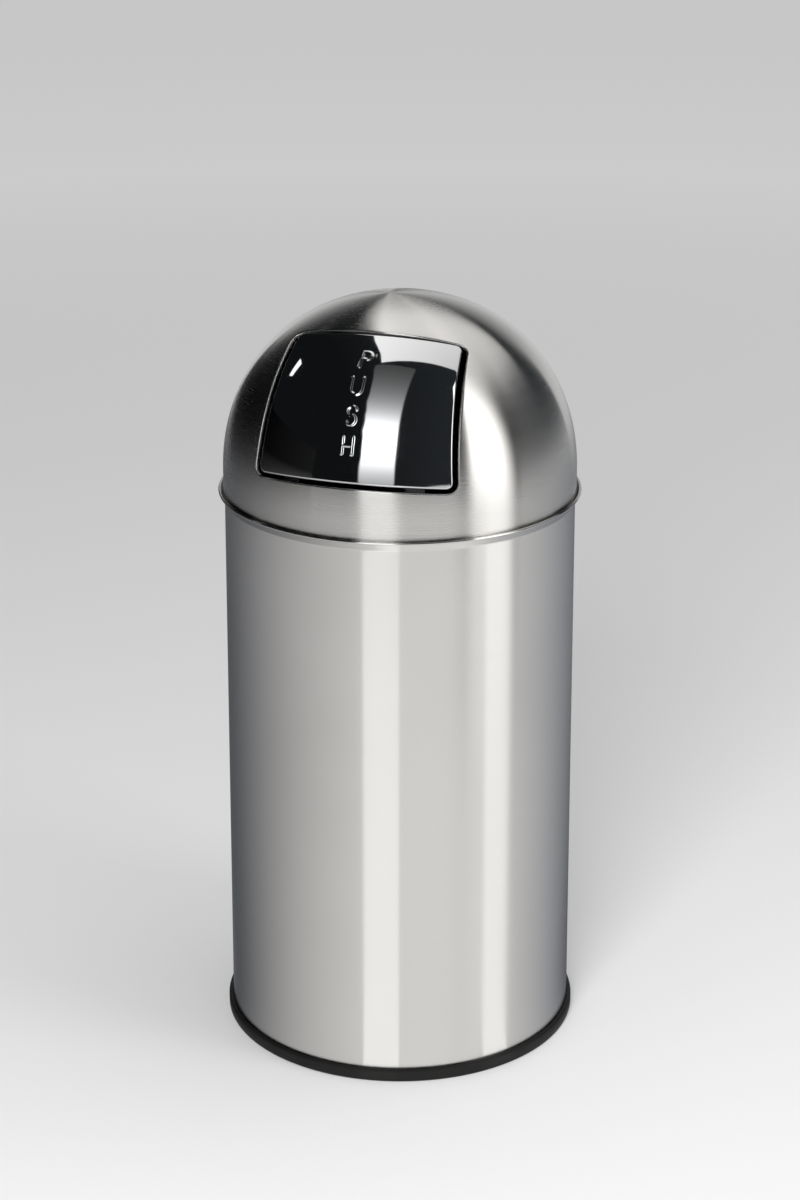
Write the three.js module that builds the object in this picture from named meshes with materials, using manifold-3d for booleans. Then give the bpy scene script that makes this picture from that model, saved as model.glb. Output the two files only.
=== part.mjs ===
// A dome-top waste receptacle: a brushed stainless tube on a black rubber ring, a galvanised
// bucket with a wire bail inside it, and a lift-off dome with a sprung, mirror-finished push flap.
// Millimetres, +Z up. The origin is on the bin's axis at floor level, and the flap faces -Y.

import * as THREE from "three";
import { mergeVertices } from "three/addons/utils/BufferGeometryUtils.js";
import Module from "manifold-3d";

const wasm = await Module();
wasm.setup();

// ------------------------------------------------------------------ driving sizes

const facets = 48; // flats round each large turned piece
const smallFacets = 12; // flats round pins, holes and rivets
const wireFacets = 8; // flats round the bail's wire
const springFacets = 5; // flats round the spring's wire
const curlSteps = 9; // steps round a rolled edge
const cornerSteps = 4; // steps round a corner of the opening or the flap
const edgeSteps = 8; // steps along each of their sides
const archSteps = 26; // steps along the bail's arch
const bendSteps = 3; // steps round each bend at its ends
const coilSteps = 8; // steps per turn of the spring
const fit = 0.3; // clearance between pieces that rest on or are welded to each other

// Body
const sheet = 0.8; // stainless sheet of the body, dome, collar and flap
const bodyRadius = 170; // outside of the tube
const rimHeight = 549.9; // floor to the centre of the rolled rim
const rimBead = 1.4; // radius of the rolled rim
const rimStandOff = 6.2; // how far the rim stands out from the tube
const flareHeight = 8; // height over which the tube flares out to its rim

// Base
const ringHeight = 12.4; // rubber ring, floor to top edge
const ringStandOff = 4.4; // how far it stands out from the tube
const ringRound = 2; // rounding of its outer edges
const ringFloor = 2.7; // rubber under the tube
const ringTread = 14; // width of the face that it stands on
const plateSheet = 0.8; // pressed base plate
const plateRise = 4; // height of its turned-down rim

// Liner
const linerSheet = 0.6; // galvanised sheet
const linerGap = 17.7; // tube to liner, at the liner's top
const linerTaper = 6; // how much smaller the liner's radius is at its foot
const linerHeadroom = 32.8; // centre of the body's rim to centre of the liner's
const linerBead = 2.8; // radius of the liner's rolled rim
const linerShoulder = 4.2; // rim's centre to where the wall bends out to it
const linerFloorRise = 5; // how far the liner's bottom sits above its foot

// Bail and its ears
const bailWire = 2.25; // radius of the bail's wire
const bailGap = 2.65; // liner's rim to the bail's wire
const bailBend = 4; // radius of the bend at each end of the bail
const bailEnd = 1.7; // how far the wire reaches in behind its ear
const bailPlay = 0.5; // wire to the hole in its ear
const pivotDrop = 20; // liner's rim down to the bail's pivot
const earSheet = 1.2;
const earHeight = 30;
const earWidth = 44;
const earBridge = 18; // width of the raised middle of an ear
const earLift = 3.6; // room behind the raised middle
const rivetSpacing = 32;
const rivetRadius = 1.8;
const rivetHead = 3.6;
const rivetCrown = 2.5; // radius of the flat on a rivet's head
const rivetHeadHeight = 1.4;

// Dome
const domeOverhang = 1.3; // dome's radius less the body's
const domeSkirt = 24; // height of the dome's straight lower part
const domeRise = 171.3; // skirt's top to the crown
const domePower = 2.12; // 2 would be a true ellipse: this is a little fuller
const domeRows = 10; // rows of facets from skirt to crown
const collarReach = 18; // how far the collar goes down into the body
const collarLap = 14; // how far it laps up inside the dome
const collarPlay = 0.6; // collar to tube
const collarJoggle = 6; // height of the step between the two

// Opening for the flap, measured along the dome's surface
const openingFoot = 29.3; // skirt's top to the lower edge
const openingHeight = 158.4; // lower edge to upper edge on the middle line
const openingFootHalf = 105.2; // half of the width at the foot
const openingTopHalf = 87.5; // half of the width at the top
const openingTopRise = 15; // how much further up the top corners lie
const openingCorner = 11; // corner radius
const lipDepth = 3.5; // dome's surface to the end of the turned-in lip

// Flap
const flapSideGap = 5;
const flapFootGap = 4.2;
const flapTopGap = 2.2;
const flapCorner = 8;
const flapRecess = 0.8; // dome's surface to the flap's
const flangeDepth = 6; // depth of the flap's turned-in edge

// Hinge
const hingeDepth = 23; // dome's surface to the pin's axis, straight below the opening's top edge
const pinRadius = 2.5;
const pinPlay = 0.4; // pin to the holes that it goes through
const pinTail = 5.5; // pin's end beyond the bracket
const bossRadius = 5.5; // round end of each ear and bracket
const hingePlate = 1.5; // sheet of the ears and brackets
const earOffset = 50; // middle line to the inner face of a flap ear
const washer = 1.8; // thickness of the nylon washer between ear and bracket
const washerRadius = 5;
const earFootStart = 9; // flap's top edge to the foot of an ear, along the dome
const earFootLength = 30;
const bracketFootStart = 5; // opening's top edge to the foot of a bracket
const bracketFootLength = 24;
const edgeClearance = 0.9; // bracket to the turned-in edges of the opening and the flap
const footWidth = 12; // welded foot of an ear or bracket, across
const clip = 0.8; // thickness of the retaining clip
const clipRadius = 5;
const grooveDepth = 0.7; // groove in the pin that the clip sits in
const grooveWidth = 1.4;
const clipMouth = Math.PI / 5; // half of the angle that the clip's mouth takes up

// Torsion spring
const springWire = 0.8; // radius of the wire
const springCoil = 5.2; // radius of the coil, to the wire's centre
const springPitch = 2.3;
const springTurns = 9;
const springLift = Math.PI / 4; // slope of the leg that bears on the dome
const springReach = 36; // length of the leg that bears on the flap
const springStep = 0.05; // step in which a leg's length is found

// Stop of the closed flap
const tabOffset = 60; // middle line to the middle of a stop tab
const tabWidth = 16;
const tabSheet = 1.2;
const tabDrop = 18; // how far a tab hangs below the flap's edge
const bumperRadius = 4.5;
const bumperHeight = 7; // thickness of rubber between dome and tab

// ------------------------------------------------------------------ sizes worked out

const bodyInside = bodyRadius - sheet;
const wallMiddle = bodyRadius - sheet / 2;
const bodyFoot = ringFloor + fit;
const flareStart = rimHeight - flareHeight;
const rimCentre = bodyRadius + rimStandOff - rimBead;

const plateTop = bodyFoot + plateRise;
const linerFoot = plateTop + fit;
const linerTop = rimHeight - linerHeadroom;
const linerRadius = bodyInside - linerGap;
const linerRimRadius = linerRadius + 2 * linerBead;
const pivotHeight = linerTop - pivotDrop;
const bailRadius = linerRimRadius + bailGap + bailWire;

const domeRadius = bodyRadius + domeOverhang;
const flareSlope = flareHeight / (rimCentre - wallMiddle);
const flareAtDome = flareStart + (domeRadius - wallMiddle) * flareSlope;
const domeFoot = flareAtDome + (sheet / 2) * Math.hypot(1, flareSlope) + fit;
const springLine = domeFoot + domeSkirt; // height of the dome's centre point

const stopDepth = sheet + fit + bumperHeight + fit; // dome's surface to the tab's outer face
const bracketOffset = earOffset + hingePlate + fit + washer + fit;
const pinHalf = bracketOffset + hingePlate + pinTail;

// ------------------------------------------------------------------ materials

const material = (color, roughness, metalness) =>
  new THREE.MeshStandardMaterial({ color, roughness, metalness });
const brushedSteel = material(0xb9b7b2, 0.32, 1);
const mirrorSteel = material(0xc8ccd0, 0.06, 1);
const galvanised = material(0x9aa0a4, 0.45, 1);
const springSteel = material(0x6c6f72, 0.35, 1);
const zincPlate = material(0xa8abad, 0.4, 1);
const rubber = material(0x141414, 0.6, 0);
const nylon = material(0xe8e6df, 0.5, 0);

// ------------------------------------------------------------------ solids

// A closed geometry as a solid that can be joined and cut.
function solid(geometry) {
  const plain = geometry.clone();
  plain.deleteAttribute("normal");
  plain.deleteAttribute("uv");
  const merged = mergeVertices(plain, 1e-4);
  return new wasm.Manifold(
    new wasm.Mesh({
      numProp: 3,
      vertProperties: merged.attributes.position.array,
      triVerts: new Uint32Array(merged.index.array),
    }),
  );
}

function geometryOf(body) {
  const mesh = body.getMesh();
  const geometry = new THREE.BufferGeometry();
  geometry.setAttribute("position", new THREE.BufferAttribute(mesh.vertProperties, 3));
  geometry.setIndex(new THREE.BufferAttribute(mesh.triVerts, 1));
  const flat = geometry.toNonIndexed();
  flat.computeVertexNormals();
  return flat;
}

function piece(name, shape, finish) {
  const geometry = shape.isBufferGeometry ? shape : geometryOf(shape);
  const mesh = new THREE.Mesh(geometry, finish);
  mesh.name = name;
  return mesh;
}

// A closed (radius, height) profile turned about Z.
function turned(profile, count = facets) {
  const points = profile.map(([r, z]) => new THREE.Vector2(Math.max(r, 0), z));
  if (THREE.ShapeUtils.area(points) < 0) points.reverse();
  const onAxis = points.findIndex((p) => p.x === 0);
  if (onAxis < 0) points.push(points[0].clone());
  else {
    // The profile's ends are its two points on the axis, so the list starts after the gap between them.
    const start = points.findIndex((p, i) => p.x === 0 && points.at(i - 1).x === 0);
    points.push(...points.splice(0, start));
  }
  return new THREE.LatheGeometry(points, count).rotateX(Math.PI / 2);
}

// The closed profile of a sheet that follows a (radius, height) path. With a bead, the sheet's
// last point is the centre of a rolled edge of that radius.
function sheetProfile(path, thickness, bead = 0) {
  const half = thickness / 2;
  const normals = path.slice(1).map(([r, z], i) => {
    const run = [r - path[i][0], z - path[i][1]];
    const length = Math.hypot(...run);
    return [-run[1] / length, run[0] / length];
  });
  const offset = (i, sign) => {
    const before = normals[Math.max(i - 1, 0)];
    const after = normals[Math.min(i, normals.length - 1)];
    const mitre = 1 + before[0] * after[0] + before[1] * after[1];
    return [0, 1].map((k) => path[i][k] + (sign * half * (before[k] + after[k])) / mitre);
  };
  const kept = bead ? path.slice(0, -1) : path;
  const left = kept.map((_, i) => offset(i, 1));
  const right = kept.map((_, i) => offset(i, -1)).reverse();
  if (!bead) return [...left, ...right];
  const [centre, last] = [path.at(-1), normals.at(-1)];
  const back = Math.atan2(-last[0], last[1]) + Math.PI; // from the bead's centre back along the sheet
  const mouth = Math.asin(half / bead);
  const curl = Array.from({ length: curlSteps + 1 }, (_, i) => {
    const angle = back - mouth - (i / curlSteps) * (2 * Math.PI - 2 * mouth);
    return [centre[0] + bead * Math.cos(angle), centre[1] + bead * Math.sin(angle)];
  });
  return [...left, ...curl, ...right];
}

// A rod along X, centred on the origin, from (radius, x) steps.
function rod(profile, count = smallFacets) {
  return turned(profile, count).rotateY(Math.PI / 2);
}

// A box from its lowest to its highest corner.
function box(low, high) {
  const size = high.map((v, i) => v - low[i]);
  const geometry = new THREE.BoxGeometry(...size);
  return solid(geometry.translate(...low.map((v, i) => v + size[i] / 2)));
}

// An outline in the YZ plane as a plate from x to x + thickness.
function plateAcross(shape, x, thickness) {
  const geometry = new THREE.ExtrudeGeometry(shape, {
    depth: thickness,
    bevelEnabled: false,
    curveSegments: smallFacets,
  });
  const across = new THREE.Matrix4().makeBasis(
    new THREE.Vector3(0, 1, 0),
    new THREE.Vector3(0, 0, 1),
    new THREE.Vector3(1, 0, 0),
  );
  return solid(geometry.applyMatrix4(across).translate(x, 0, 0));
}

// ------------------------------------------------------------------ the dome's surface
// Everything in the lid is drawn about the dome's centre point, on its axis at the skirt's top.

// Profile of the dome drawn in by a depth: a superellipse over a straight skirt.
function domeArc(depth) {
  return Array.from({ length: domeRows + 1 }, (_, i) => {
    const turn = (i / domeRows) * (Math.PI / 2);
    const r = i === domeRows ? 0 : (domeRadius - depth) * Math.cos(turn) ** (2 / domePower);
    return [r, (domeRise - depth) * Math.sin(turn) ** (2 / domePower)];
  });
}

// All that lies deeper than a depth under the dome's surface, down to a height below its centre.
function domeInside(depth, foot = domeSkirt) {
  return solid(turned([[0, -foot], [domeRadius - depth, -foot], ...domeArc(depth)]));
}

// A skin between two depths under the dome's surface.
function domeBand(outer, inner) {
  return domeInside(outer, 2 * domeSkirt).subtract(domeInside(inner, 2 * domeSkirt + sheet));
}

// A point on the dome from two arc lengths: across, from the middle line, and up, from the skirt's top.
function onDome(across, up, depth = 0) {
  const [side, rise] = [across / domeRadius, up / domeRadius];
  const way = new THREE.Vector3(
    Math.sin(side),
    -Math.cos(side) * Math.cos(rise),
    Math.cos(side) * Math.sin(rise),
  );
  const level = Math.hypot(way.x, way.y) / domeRadius;
  const reach = (level ** domePower + (way.z / domeRise) ** domePower) ** (-1 / domePower);
  return way.multiplyScalar(reach - depth);
}

// The opening's outline on the dome, drawn in at the sides, foot and top by the gaps given:
// four sides with round corners, wider at the foot, its top edge rising towards the corners.
function openingOutline(sideGap, footGap, topGap, corner) {
  const meanHalf = (openingFootHalf + openingTopHalf) / 2;
  const halfHeight = openingHeight / 2;
  const flat = [];
  [[1, -1], [1, 1], [-1, 1], [-1, -1]].forEach(([x, y], quarter) => {
    for (let i = 0; i <= cornerSteps; i++) {
      const angle = ((quarter - 1 + i / cornerSteps) * Math.PI) / 2;
      flat.push([
        x * (meanHalf - corner) + corner * Math.cos(angle),
        y * (halfHeight - corner) + corner * Math.sin(angle),
      ]);
    }
  });
  return flat.flatMap((from, i) => {
    const to = flat[(i + 1) % flat.length];
    const steps = i % (cornerSteps + 1) === cornerSteps ? edgeSteps : 1;
    return Array.from({ length: steps }, (_, k) => {
      const u = (from[0] + ((to[0] - from[0]) * k) / steps) / meanHalf;
      const v = ((from[1] + ((to[1] - from[1]) * k) / steps) / halfHeight + 1) / 2;
      const half = THREE.MathUtils.lerp(openingFootHalf, openingTopHalf, v) - sideGap;
      const height = openingHeight + openingTopRise * u * u - footGap - topGap;
      return onDome(u * half, openingFoot + footGap + v * height);
    });
  });
}

const opening = (gap = 0) => openingOutline(gap, gap, gap, openingCorner - gap);
const flapOutline = (gap = 0) =>
  openingOutline(flapSideGap + gap, flapFootGap + gap, flapTopGap + gap, flapCorner - gap);

// Everything that the dome's centre sees through an outline, as a solid that ends in a point
// far enough out for its sides to leave the dome at once.
function sightCone(outline) {
  const rimReach = 1.15;
  const tipReach = 1.6;
  const far = outline.map((p) => p.clone().multiplyScalar(rimReach));
  const tip = onDome(0, openingFoot + openingHeight / 2).multiplyScalar(tipReach);
  const centre = new THREE.Vector3();
  const corners = far.flatMap((p, i) => {
    const next = far[(i + 1) % far.length];
    return [centre, next, p, tip, p, next];
  });
  return solid(new THREE.BufferGeometry().setFromPoints(corners));
}

// Angle, up from the skirt's top, of a plane through the dome's centre and an arc length up the dome.
const riseOf = (arc) => arc / domeRadius;
const openingTop = openingFoot + openingHeight;
const hinge = onDome(0, openingTop, hingeDepth);

// ------------------------------------------------------------------ body

function bodyShell() {
  const path = [[wallMiddle, bodyFoot], [wallMiddle, flareStart], [rimCentre, rimHeight]];
  return turned(sheetProfile(path, sheet, rimBead));
}

function baseRing() {
  const [inside, outside] = [bodyRadius + fit, bodyRadius + ringStandOff];
  return turned([
    [outside - ringTread, 0],
    [outside - ringRound, 0],
    [outside, ringRound],
    [outside, ringHeight - ringRound],
    [outside - ringRound, ringHeight],
    [inside, ringHeight],
    [inside, ringFloor],
    [outside - ringTread, ringFloor],
  ]);
}

function basePlate() {
  const middle = plateTop - plateSheet / 2;
  const edge = bodyInside - fit - plateSheet / 2;
  return turned(sheetProfile([[0, middle], [edge, middle], [edge, bodyFoot]], plateSheet));
}

// ------------------------------------------------------------------ liner and bail

const linerRadiusAt = (z) =>
  linerRadius - (linerTaper * (linerTop - z)) / (linerTop - linerFoot);

function linerWall() {
  const shoulder = linerTop - linerShoulder;
  const path = [
    [linerRadiusAt(linerFoot) - linerSheet / 2, linerFoot],
    [linerRadiusAt(shoulder) - linerSheet / 2, shoulder],
    [linerRadius + linerBead, linerTop],
  ];
  return solid(turned(sheetProfile(path, linerSheet, linerBead)));
}

function linerBottom() {
  const edge = linerRadiusAt(linerFoot) - linerSheet - fit - linerSheet / 2;
  const height = linerFoot + linerFloorRise;
  return turned(sheetProfile([[0, height], [edge, height], [edge, linerFoot]], linerSheet));
}

// A ring about Z between two radii, cut to a range of y and z on the side of +X.
function earStrip(inner, outer, lowY, highY) {
  const [low, high] = [pivotHeight - earHeight / 2, pivotHeight + earHeight / 2];
  const ring = solid(turned([[inner, low], [outer, low], [outer, high], [inner, high]]));
  return ring.intersect(box([0, lowY, low], [bodyRadius, highY, high]));
}

const earInner = linerRadiusAt(pivotHeight + earHeight / 2) + fit;
const bridgeInner = earInner + earLift;
const rivetAngle = Math.asin(rivetSpacing / 2 / linerRadius);

// Turns a solid or geometry from +X to a rivet's place on the ear of the right hand side.
const toRivet = (geometry, way) => geometry.rotateZ(way * rivetAngle).translate(0, 0, pivotHeight);

function bailEar() {
  const [half, bridge] = [earWidth / 2, earBridge / 2];
  let ear = earStrip(bridgeInner, bridgeInner + earSheet, -bridge, bridge);
  for (const way of [-1, 1]) {
    const edges = [way * bridge, way * half].sort((a, b) => a - b);
    const wall = [way * (bridge - earSheet), way * bridge].sort((a, b) => a - b);
    ear = ear.add(earStrip(earInner, earInner + earSheet, ...edges));
    ear = ear.add(earStrip(earInner, bridgeInner + earSheet, ...wall));
  }
  const bore = bailWire + bailPlay;
  const hole = rod([[0, 0], [bore, 0], [bore, bodyRadius], [0, bodyRadius]]);
  ear = ear.subtract(solid(hole.translate(0, 0, pivotHeight)));
  return ear.subtract(rivetHoles());
}

// The two holes of a pair of rivets through the liner's wall and an ear, on the side of +X.
function rivetHoles() {
  const bore = rivetRadius + fit;
  const far = bodyRadius;
  const near = linerRadius / 2;
  const holes = [-1, 1].map((way) =>
    solid(toRivet(rod([[0, near], [bore, near], [bore, far], [0, far]]), way)),
  );
  return holes[0].add(holes[1]);
}

function earRivet(way) {
  const inner = linerRadiusAt(pivotHeight) - linerSheet - 2 * fit;
  const outer = earInner + earSheet + fit;
  const profile = [
    [0, inner - rivetHeadHeight],
    [rivetCrown, inner - rivetHeadHeight],
    [rivetHead, inner],
    [rivetRadius, inner],
    [rivetRadius, outer],
    [rivetHead, outer],
    [rivetCrown, outer + rivetHeadHeight],
    [0, outer + rivetHeadHeight],
  ];
  return toRivet(rod(profile), way);
}

// The bail in its own plane: a half circle over the liner, its ends bent in through the ears.
// Drawn upright about the pivots, so that turning it about X folds it down.
function bailHandle() {
  const [end, bendX] = [bridgeInner - bailEnd, bailRadius - bailBend];
  const at = (x, z) => new THREE.Vector3(x, 0, z);
  const round = (x, from, to) =>
    Array.from({ length: bendSteps + 1 }, (_, i) => {
      const angle = from + ((to - from) * i) / bendSteps;
      return at(x + bailBend * Math.cos(angle), bailBend + bailBend * Math.sin(angle));
    });
  const start = Math.asin(bailBend / bailRadius);
  const arch = Array.from({ length: archSteps + 1 }, (_, i) => {
    const angle = start + ((Math.PI - 2 * start) * i) / archSteps;
    return at(bailRadius * Math.cos(angle), bailRadius * Math.sin(angle));
  });
  const points = [
    at(end, 0),
    ...round(bendX, -Math.PI / 2, 0).slice(0, -1),
    ...arch,
    ...round(-bendX, Math.PI, Math.PI * 1.5).slice(1),
    at(-end, 0),
  ];
  return tube(points, bailWire, wireFacets);
}

// A closed tube round a list of points, with flat ends.
function tube(points, radius, sides) {
  const count = points.length;
  const runs = points.map((_, i) =>
    points[Math.min(i + 1, count - 1)].clone().sub(points[Math.max(i - 1, 0)]).normalize(),
  );
  let across = new THREE.Vector3(1, 0, 0).cross(runs[0]);
  if (across.length() < 0.5) across = new THREE.Vector3(0, 1, 0).cross(runs[0]);
  const vertices = [];
  points.forEach((point, i) => {
    across.addScaledVector(runs[i], -across.dot(runs[i])).normalize();
    const up = runs[i].clone().cross(across);
    for (let k = 0; k < sides; k++) {
      const angle = (2 * Math.PI * k) / sides;
      const spoke = across.clone().multiplyScalar(radius * Math.cos(angle));
      vertices.push(spoke.addScaledVector(up, radius * Math.sin(angle)).add(point));
    }
  });
  vertices.push(points[0], points[count - 1]);
  const index = [];
  for (let k = 0; k < sides; k++) {
    const next = (k + 1) % sides;
    for (let i = 0; i < count - 1; i++) {
      const [a, b] = [i * sides, (i + 1) * sides];
      index.push(a + k, a + next, b + next, a + k, b + next, b + k);
    }
    const last = (count - 1) * sides;
    index.push(count * sides, next, k, count * sides + 1, last + k, last + next);
  }
  const geometry = new THREE.BufferGeometry().setFromPoints(vertices);
  geometry.setIndex(index);
  geometry.computeVertexNormals();
  return geometry;
}

// ------------------------------------------------------------------ lid

function domeShell() {
  const shell = domeInside(0).subtract(domeInside(sheet, domeSkirt + sheet));
  const lip = sightCone(opening(-sheet)).intersect(domeBand(0, lipDepth));
  return shell.add(lip).subtract(sightCone(opening()));
}

function lidCollar() {
  const inBody = bodyInside - collarPlay - sheet / 2;
  const inDome = domeRadius - sheet - fit - sheet / 2;
  const path = [
    [inBody, -domeSkirt - collarReach],
    [inBody, -domeSkirt - collarJoggle / 2],
    [inDome, -domeSkirt + collarJoggle / 2],
    [inDome, -domeSkirt + collarLap],
  ];
  return turned(sheetProfile(path, sheet));
}

// A plate across the hinge, from x to x + hingePlate: a round boss on the pin, widening to two
// points on the dome, the first of them met first when turning from +Y to +Z. The neck is half of
// the plate's width at the pin on the second point's side.
function hingeWeb(x, [first, second], neck) {
  const angles = [first, second].map((p) => Math.atan2(p.z - hinge.z, p.y - hinge.y));
  const beside = (angle, radius) => [
    hinge.y + radius * Math.cos(angle),
    hinge.z + radius * Math.sin(angle),
  ];
  const outline = new THREE.Shape();
  outline.moveTo(first.y, first.z);
  outline.lineTo(second.y, second.z);
  outline.lineTo(...beside(angles[1] + Math.PI / 2, neck));
  outline.lineTo(...beside(angles[0] - Math.PI / 2, bossRadius));
  outline.closePath();
  const boss = new THREE.Shape().absarc(hinge.y, hinge.z, bossRadius, 0, 2 * Math.PI, false);
  return plateAcross(outline, x, hingePlate).add(plateAcross(boss, x, hingePlate));
}

// A hinge plate on one side: its web, a welded foot that follows the dome at a depth, and the
// pin's hole. The foot spans two distances from the opening's top edge, along the dome.
function hingeLeaf(side, offset, distances, depth, footInward, neck) {
  const x = side > 0 ? offset : -offset - hingePlate;
  const across = domeRadius * Math.asin(offset / domeRadius);
  const edge = openingTop + openingTopRise * (across / openingTopHalf) ** 2;
  const ends = distances.map((distance) => onDome(across, edge + distance, -sheet));
  const [inner, outer] = footInward
    ? [offset - footWidth, offset + hingePlate]
    : [offset, offset + footWidth];
  const [low, high] = [side * inner, side * outer].sort((a, b) => a - b);
  const [back, front] = [ends[0].y, ends[1].y].sort((a, b) => b - a);
  const zone = box([low, front, 0], [high, back, domeRise]);
  const foot = domeBand(depth, depth + hingePlate).intersect(zone);
  const bore = pinRadius + pinPlay;
  const hole = rod([[0, -pinHalf], [bore, -pinHalf], [bore, pinHalf], [0, pinHalf]]);
  return hingeWeb(x, ends, neck)
    .intersect(domeInside(depth))
    .add(foot)
    .subtract(solid(hole.translate(0, hinge.y, hinge.z)));
}

function hingeBracket(side) {
  const distances = [bracketFootStart + bracketFootLength, bracketFootStart];
  const edgeDepth = Math.max(lipDepth, flapRecess + flangeDepth) + edgeClearance;
  const edges = sightCone(opening(-sheet - fit)).intersect(domeBand(-sheet, edgeDepth));
  return hingeLeaf(side, bracketOffset, distances, sheet + fit, false, 0).subtract(edges);
}

// ------------------------------------------------------------------ hinge
// Pieces on the pin, drawn about its axis.

const grooveAt = bracketOffset + hingePlate + fit + grooveWidth / 2;
const grooveRadius = pinRadius - grooveDepth;

function hingePin() {
  const [near, far] = [grooveAt - grooveWidth / 2, grooveAt + grooveWidth / 2];
  return rod([
    [0, -pinHalf],
    [pinRadius, -pinHalf],
    [pinRadius, -far],
    [grooveRadius, -far],
    [grooveRadius, -near],
    [pinRadius, -near],
    [pinRadius, near],
    [grooveRadius, near],
    [grooveRadius, far],
    [pinRadius, far],
    [pinRadius, pinHalf],
    [0, pinHalf],
  ]);
}

// A flat retaining ring with a mouth, in its groove.
function pinClip(side) {
  const end = 2 * Math.PI - clipMouth;
  const shape = new THREE.Shape();
  shape.absarc(0, 0, clipRadius, clipMouth, end, false);
  shape.absarc(0, 0, grooveRadius + fit, end, clipMouth, true);
  shape.closePath();
  return plateAcross(shape, side * grooveAt - clip / 2, clip);
}

function hingeWasher(side) {
  const [inner, outer] = [pinRadius + pinPlay, washerRadius];
  const middle = side * (earOffset + hingePlate + fit + washer / 2);
  const [low, high] = [middle - washer / 2, middle + washer / 2];
  return rod([[inner, low], [outer, low], [outer, high], [inner, high]]);
}

// One wire: a leg up to the dome, the coil, and a leg forward to the flap.
function springPath() {
  const half = (springPitch * (springTurns - 1)) / 2;
  const first = Math.PI / 2 + springLift;
  const last = Math.PI / 2 + 2 * Math.PI * springTurns;
  const steps = coilSteps * springTurns;
  const coil = Array.from({ length: steps + 1 }, (_, i) => {
    const angle = first + ((last - first) * i) / steps;
    const x = half * ((2 * i) / steps - 1);
    return new THREE.Vector3(x, springCoil * Math.cos(angle), springCoil * Math.sin(angle));
  });
  const bearing = springWire + fit;
  // The dome's leg is as long as it takes to reach the shell's inner face.
  const rise = new THREE.Vector3(0, Math.cos(springLift), Math.sin(springLift));
  const reachOf = (way, depth) => {
    const from = way > 0 ? coil.at(-1) : coil[0];
    const run = way > 0 ? new THREE.Vector3(0, -1, 0) : rise;
    let length = 0;
    const at = () => from.clone().addScaledVector(run, length);
    while (domeDepth(at().add(hinge)) > depth) length += springStep;
    return at();
  };
  const domeEnd = reachOf(-1, sheet + bearing);
  const flapEnd = reachOf(1, flapRecess + sheet + bearing);
  const reach = Math.min(springReach, flapEnd.distanceTo(coil.at(-1)));
  flapEnd.copy(coil.at(-1)).y -= reach;
  return [domeEnd, ...coil, flapEnd];
}

// How deep a point, from the dome's centre, lies under the dome's surface, along its own radius.
function domeDepth(p) {
  const level = Math.hypot(p.x, p.y) / domeRadius;
  const share = (level ** domePower + (Math.max(p.z, 0) / domeRise) ** domePower) ** (1 / domePower);
  return p.length() * (1 / share - 1);
}

// The least gap between two stretches of the spring's wire that aren't neighbours along it.
function leastGap(points, radius, turn) {
  let least = Infinity;
  points.forEach((p, i) =>
    points.slice(i + turn).forEach((q) => {
      least = Math.min(least, p.distanceTo(q) - 2 * radius);
    }),
  );
  return least;
}

// ------------------------------------------------------------------ flap

function flapPanel() {
  const outline = sightCone(flapOutline());
  const inner = sightCone(flapOutline(sheet));
  const face = domeBand(flapRecess, flapRecess + sheet).intersect(outline);
  const flange = domeBand(flapRecess, flapRecess + flangeDepth).intersect(outline.subtract(inner));
  return face.add(flange);
}

// The zone of the flap's turned-in edge, which its ears and tabs keep out of.
function flangeZone() {
  return domeBand(-sheet, flapRecess + flangeDepth + fit).subtract(sightCone(flapOutline(sheet + fit)));
}

function flapEar(side) {
  const distances = [-earFootStart, -earFootStart - earFootLength];
  const leaf = hingeLeaf(side, earOffset, distances, flapRecess + sheet + fit, true, bossRadius);
  return leaf.subtract(flangeZone());
}

// An angle welded along the inside of the flap's lower edge. Its hanging leg stops the flap
// against the rubber bumper behind the dome's wall.
function stopTab(side) {
  const across = [side * tabOffset - tabWidth / 2, side * tabOffset + tabWidth / 2];
  const rise = riseOf(openingFoot + flapFootGap);
  const low = sheet + fit;
  const deep = stopDepth + tabSheet;
  const slab = (from, to) =>
    solid(
      new THREE.BoxGeometry(tabWidth, 2 * domeRadius, to - from)
        .translate(side * tabOffset, -domeRadius, (from + to) / 2)
        .rotateX(-rise),
    );
  const shelf = slab(low, low + tabSheet).intersect(domeBand(flapRecess + sheet + fit, deep));
  const edgeHeight = domeRadius * Math.sin(rise);
  const leg = domeBand(stopDepth, deep)
    .intersect(box([across[0], -domeRadius, edgeHeight - tabDrop], [across[1], 0, domeRise]))
    .subtract(slab(low + tabSheet / 2, domeRise));
  return shelf.add(leg);
}

function stopBumper(side) {
  const tabFoot = domeRadius * Math.sin(riseOf(openingFoot + flapFootGap)) - tabDrop;
  const height = tabFoot + fit + bumperRadius;
  const angle = Math.asin((side * tabOffset) / (domeRadius - stopDepth));
  const stub = rod([[0, 0], [bumperRadius, 0], [bumperRadius, domeRadius], [0, domeRadius]]);
  return solid(stub.rotateZ(angle - Math.PI / 2).translate(0, 0, height)).intersect(
    domeBand(sheet + fit, sheet + fit + bumperHeight),
  );
}

// ------------------------------------------------------------------ assembly

const group = (name, ...members) => {
  const made = new THREE.Group();
  made.name = name;
  made.add(...members);
  return made;
};
const sides = [[-1, "left"], [1, "right"]];

const bin = group(
  "bin",
  piece("body_shell", bodyShell(), brushedSteel),
  piece("base_ring", baseRing(), rubber),
  piece("base_plate", basePlate(), galvanised),
);

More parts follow.
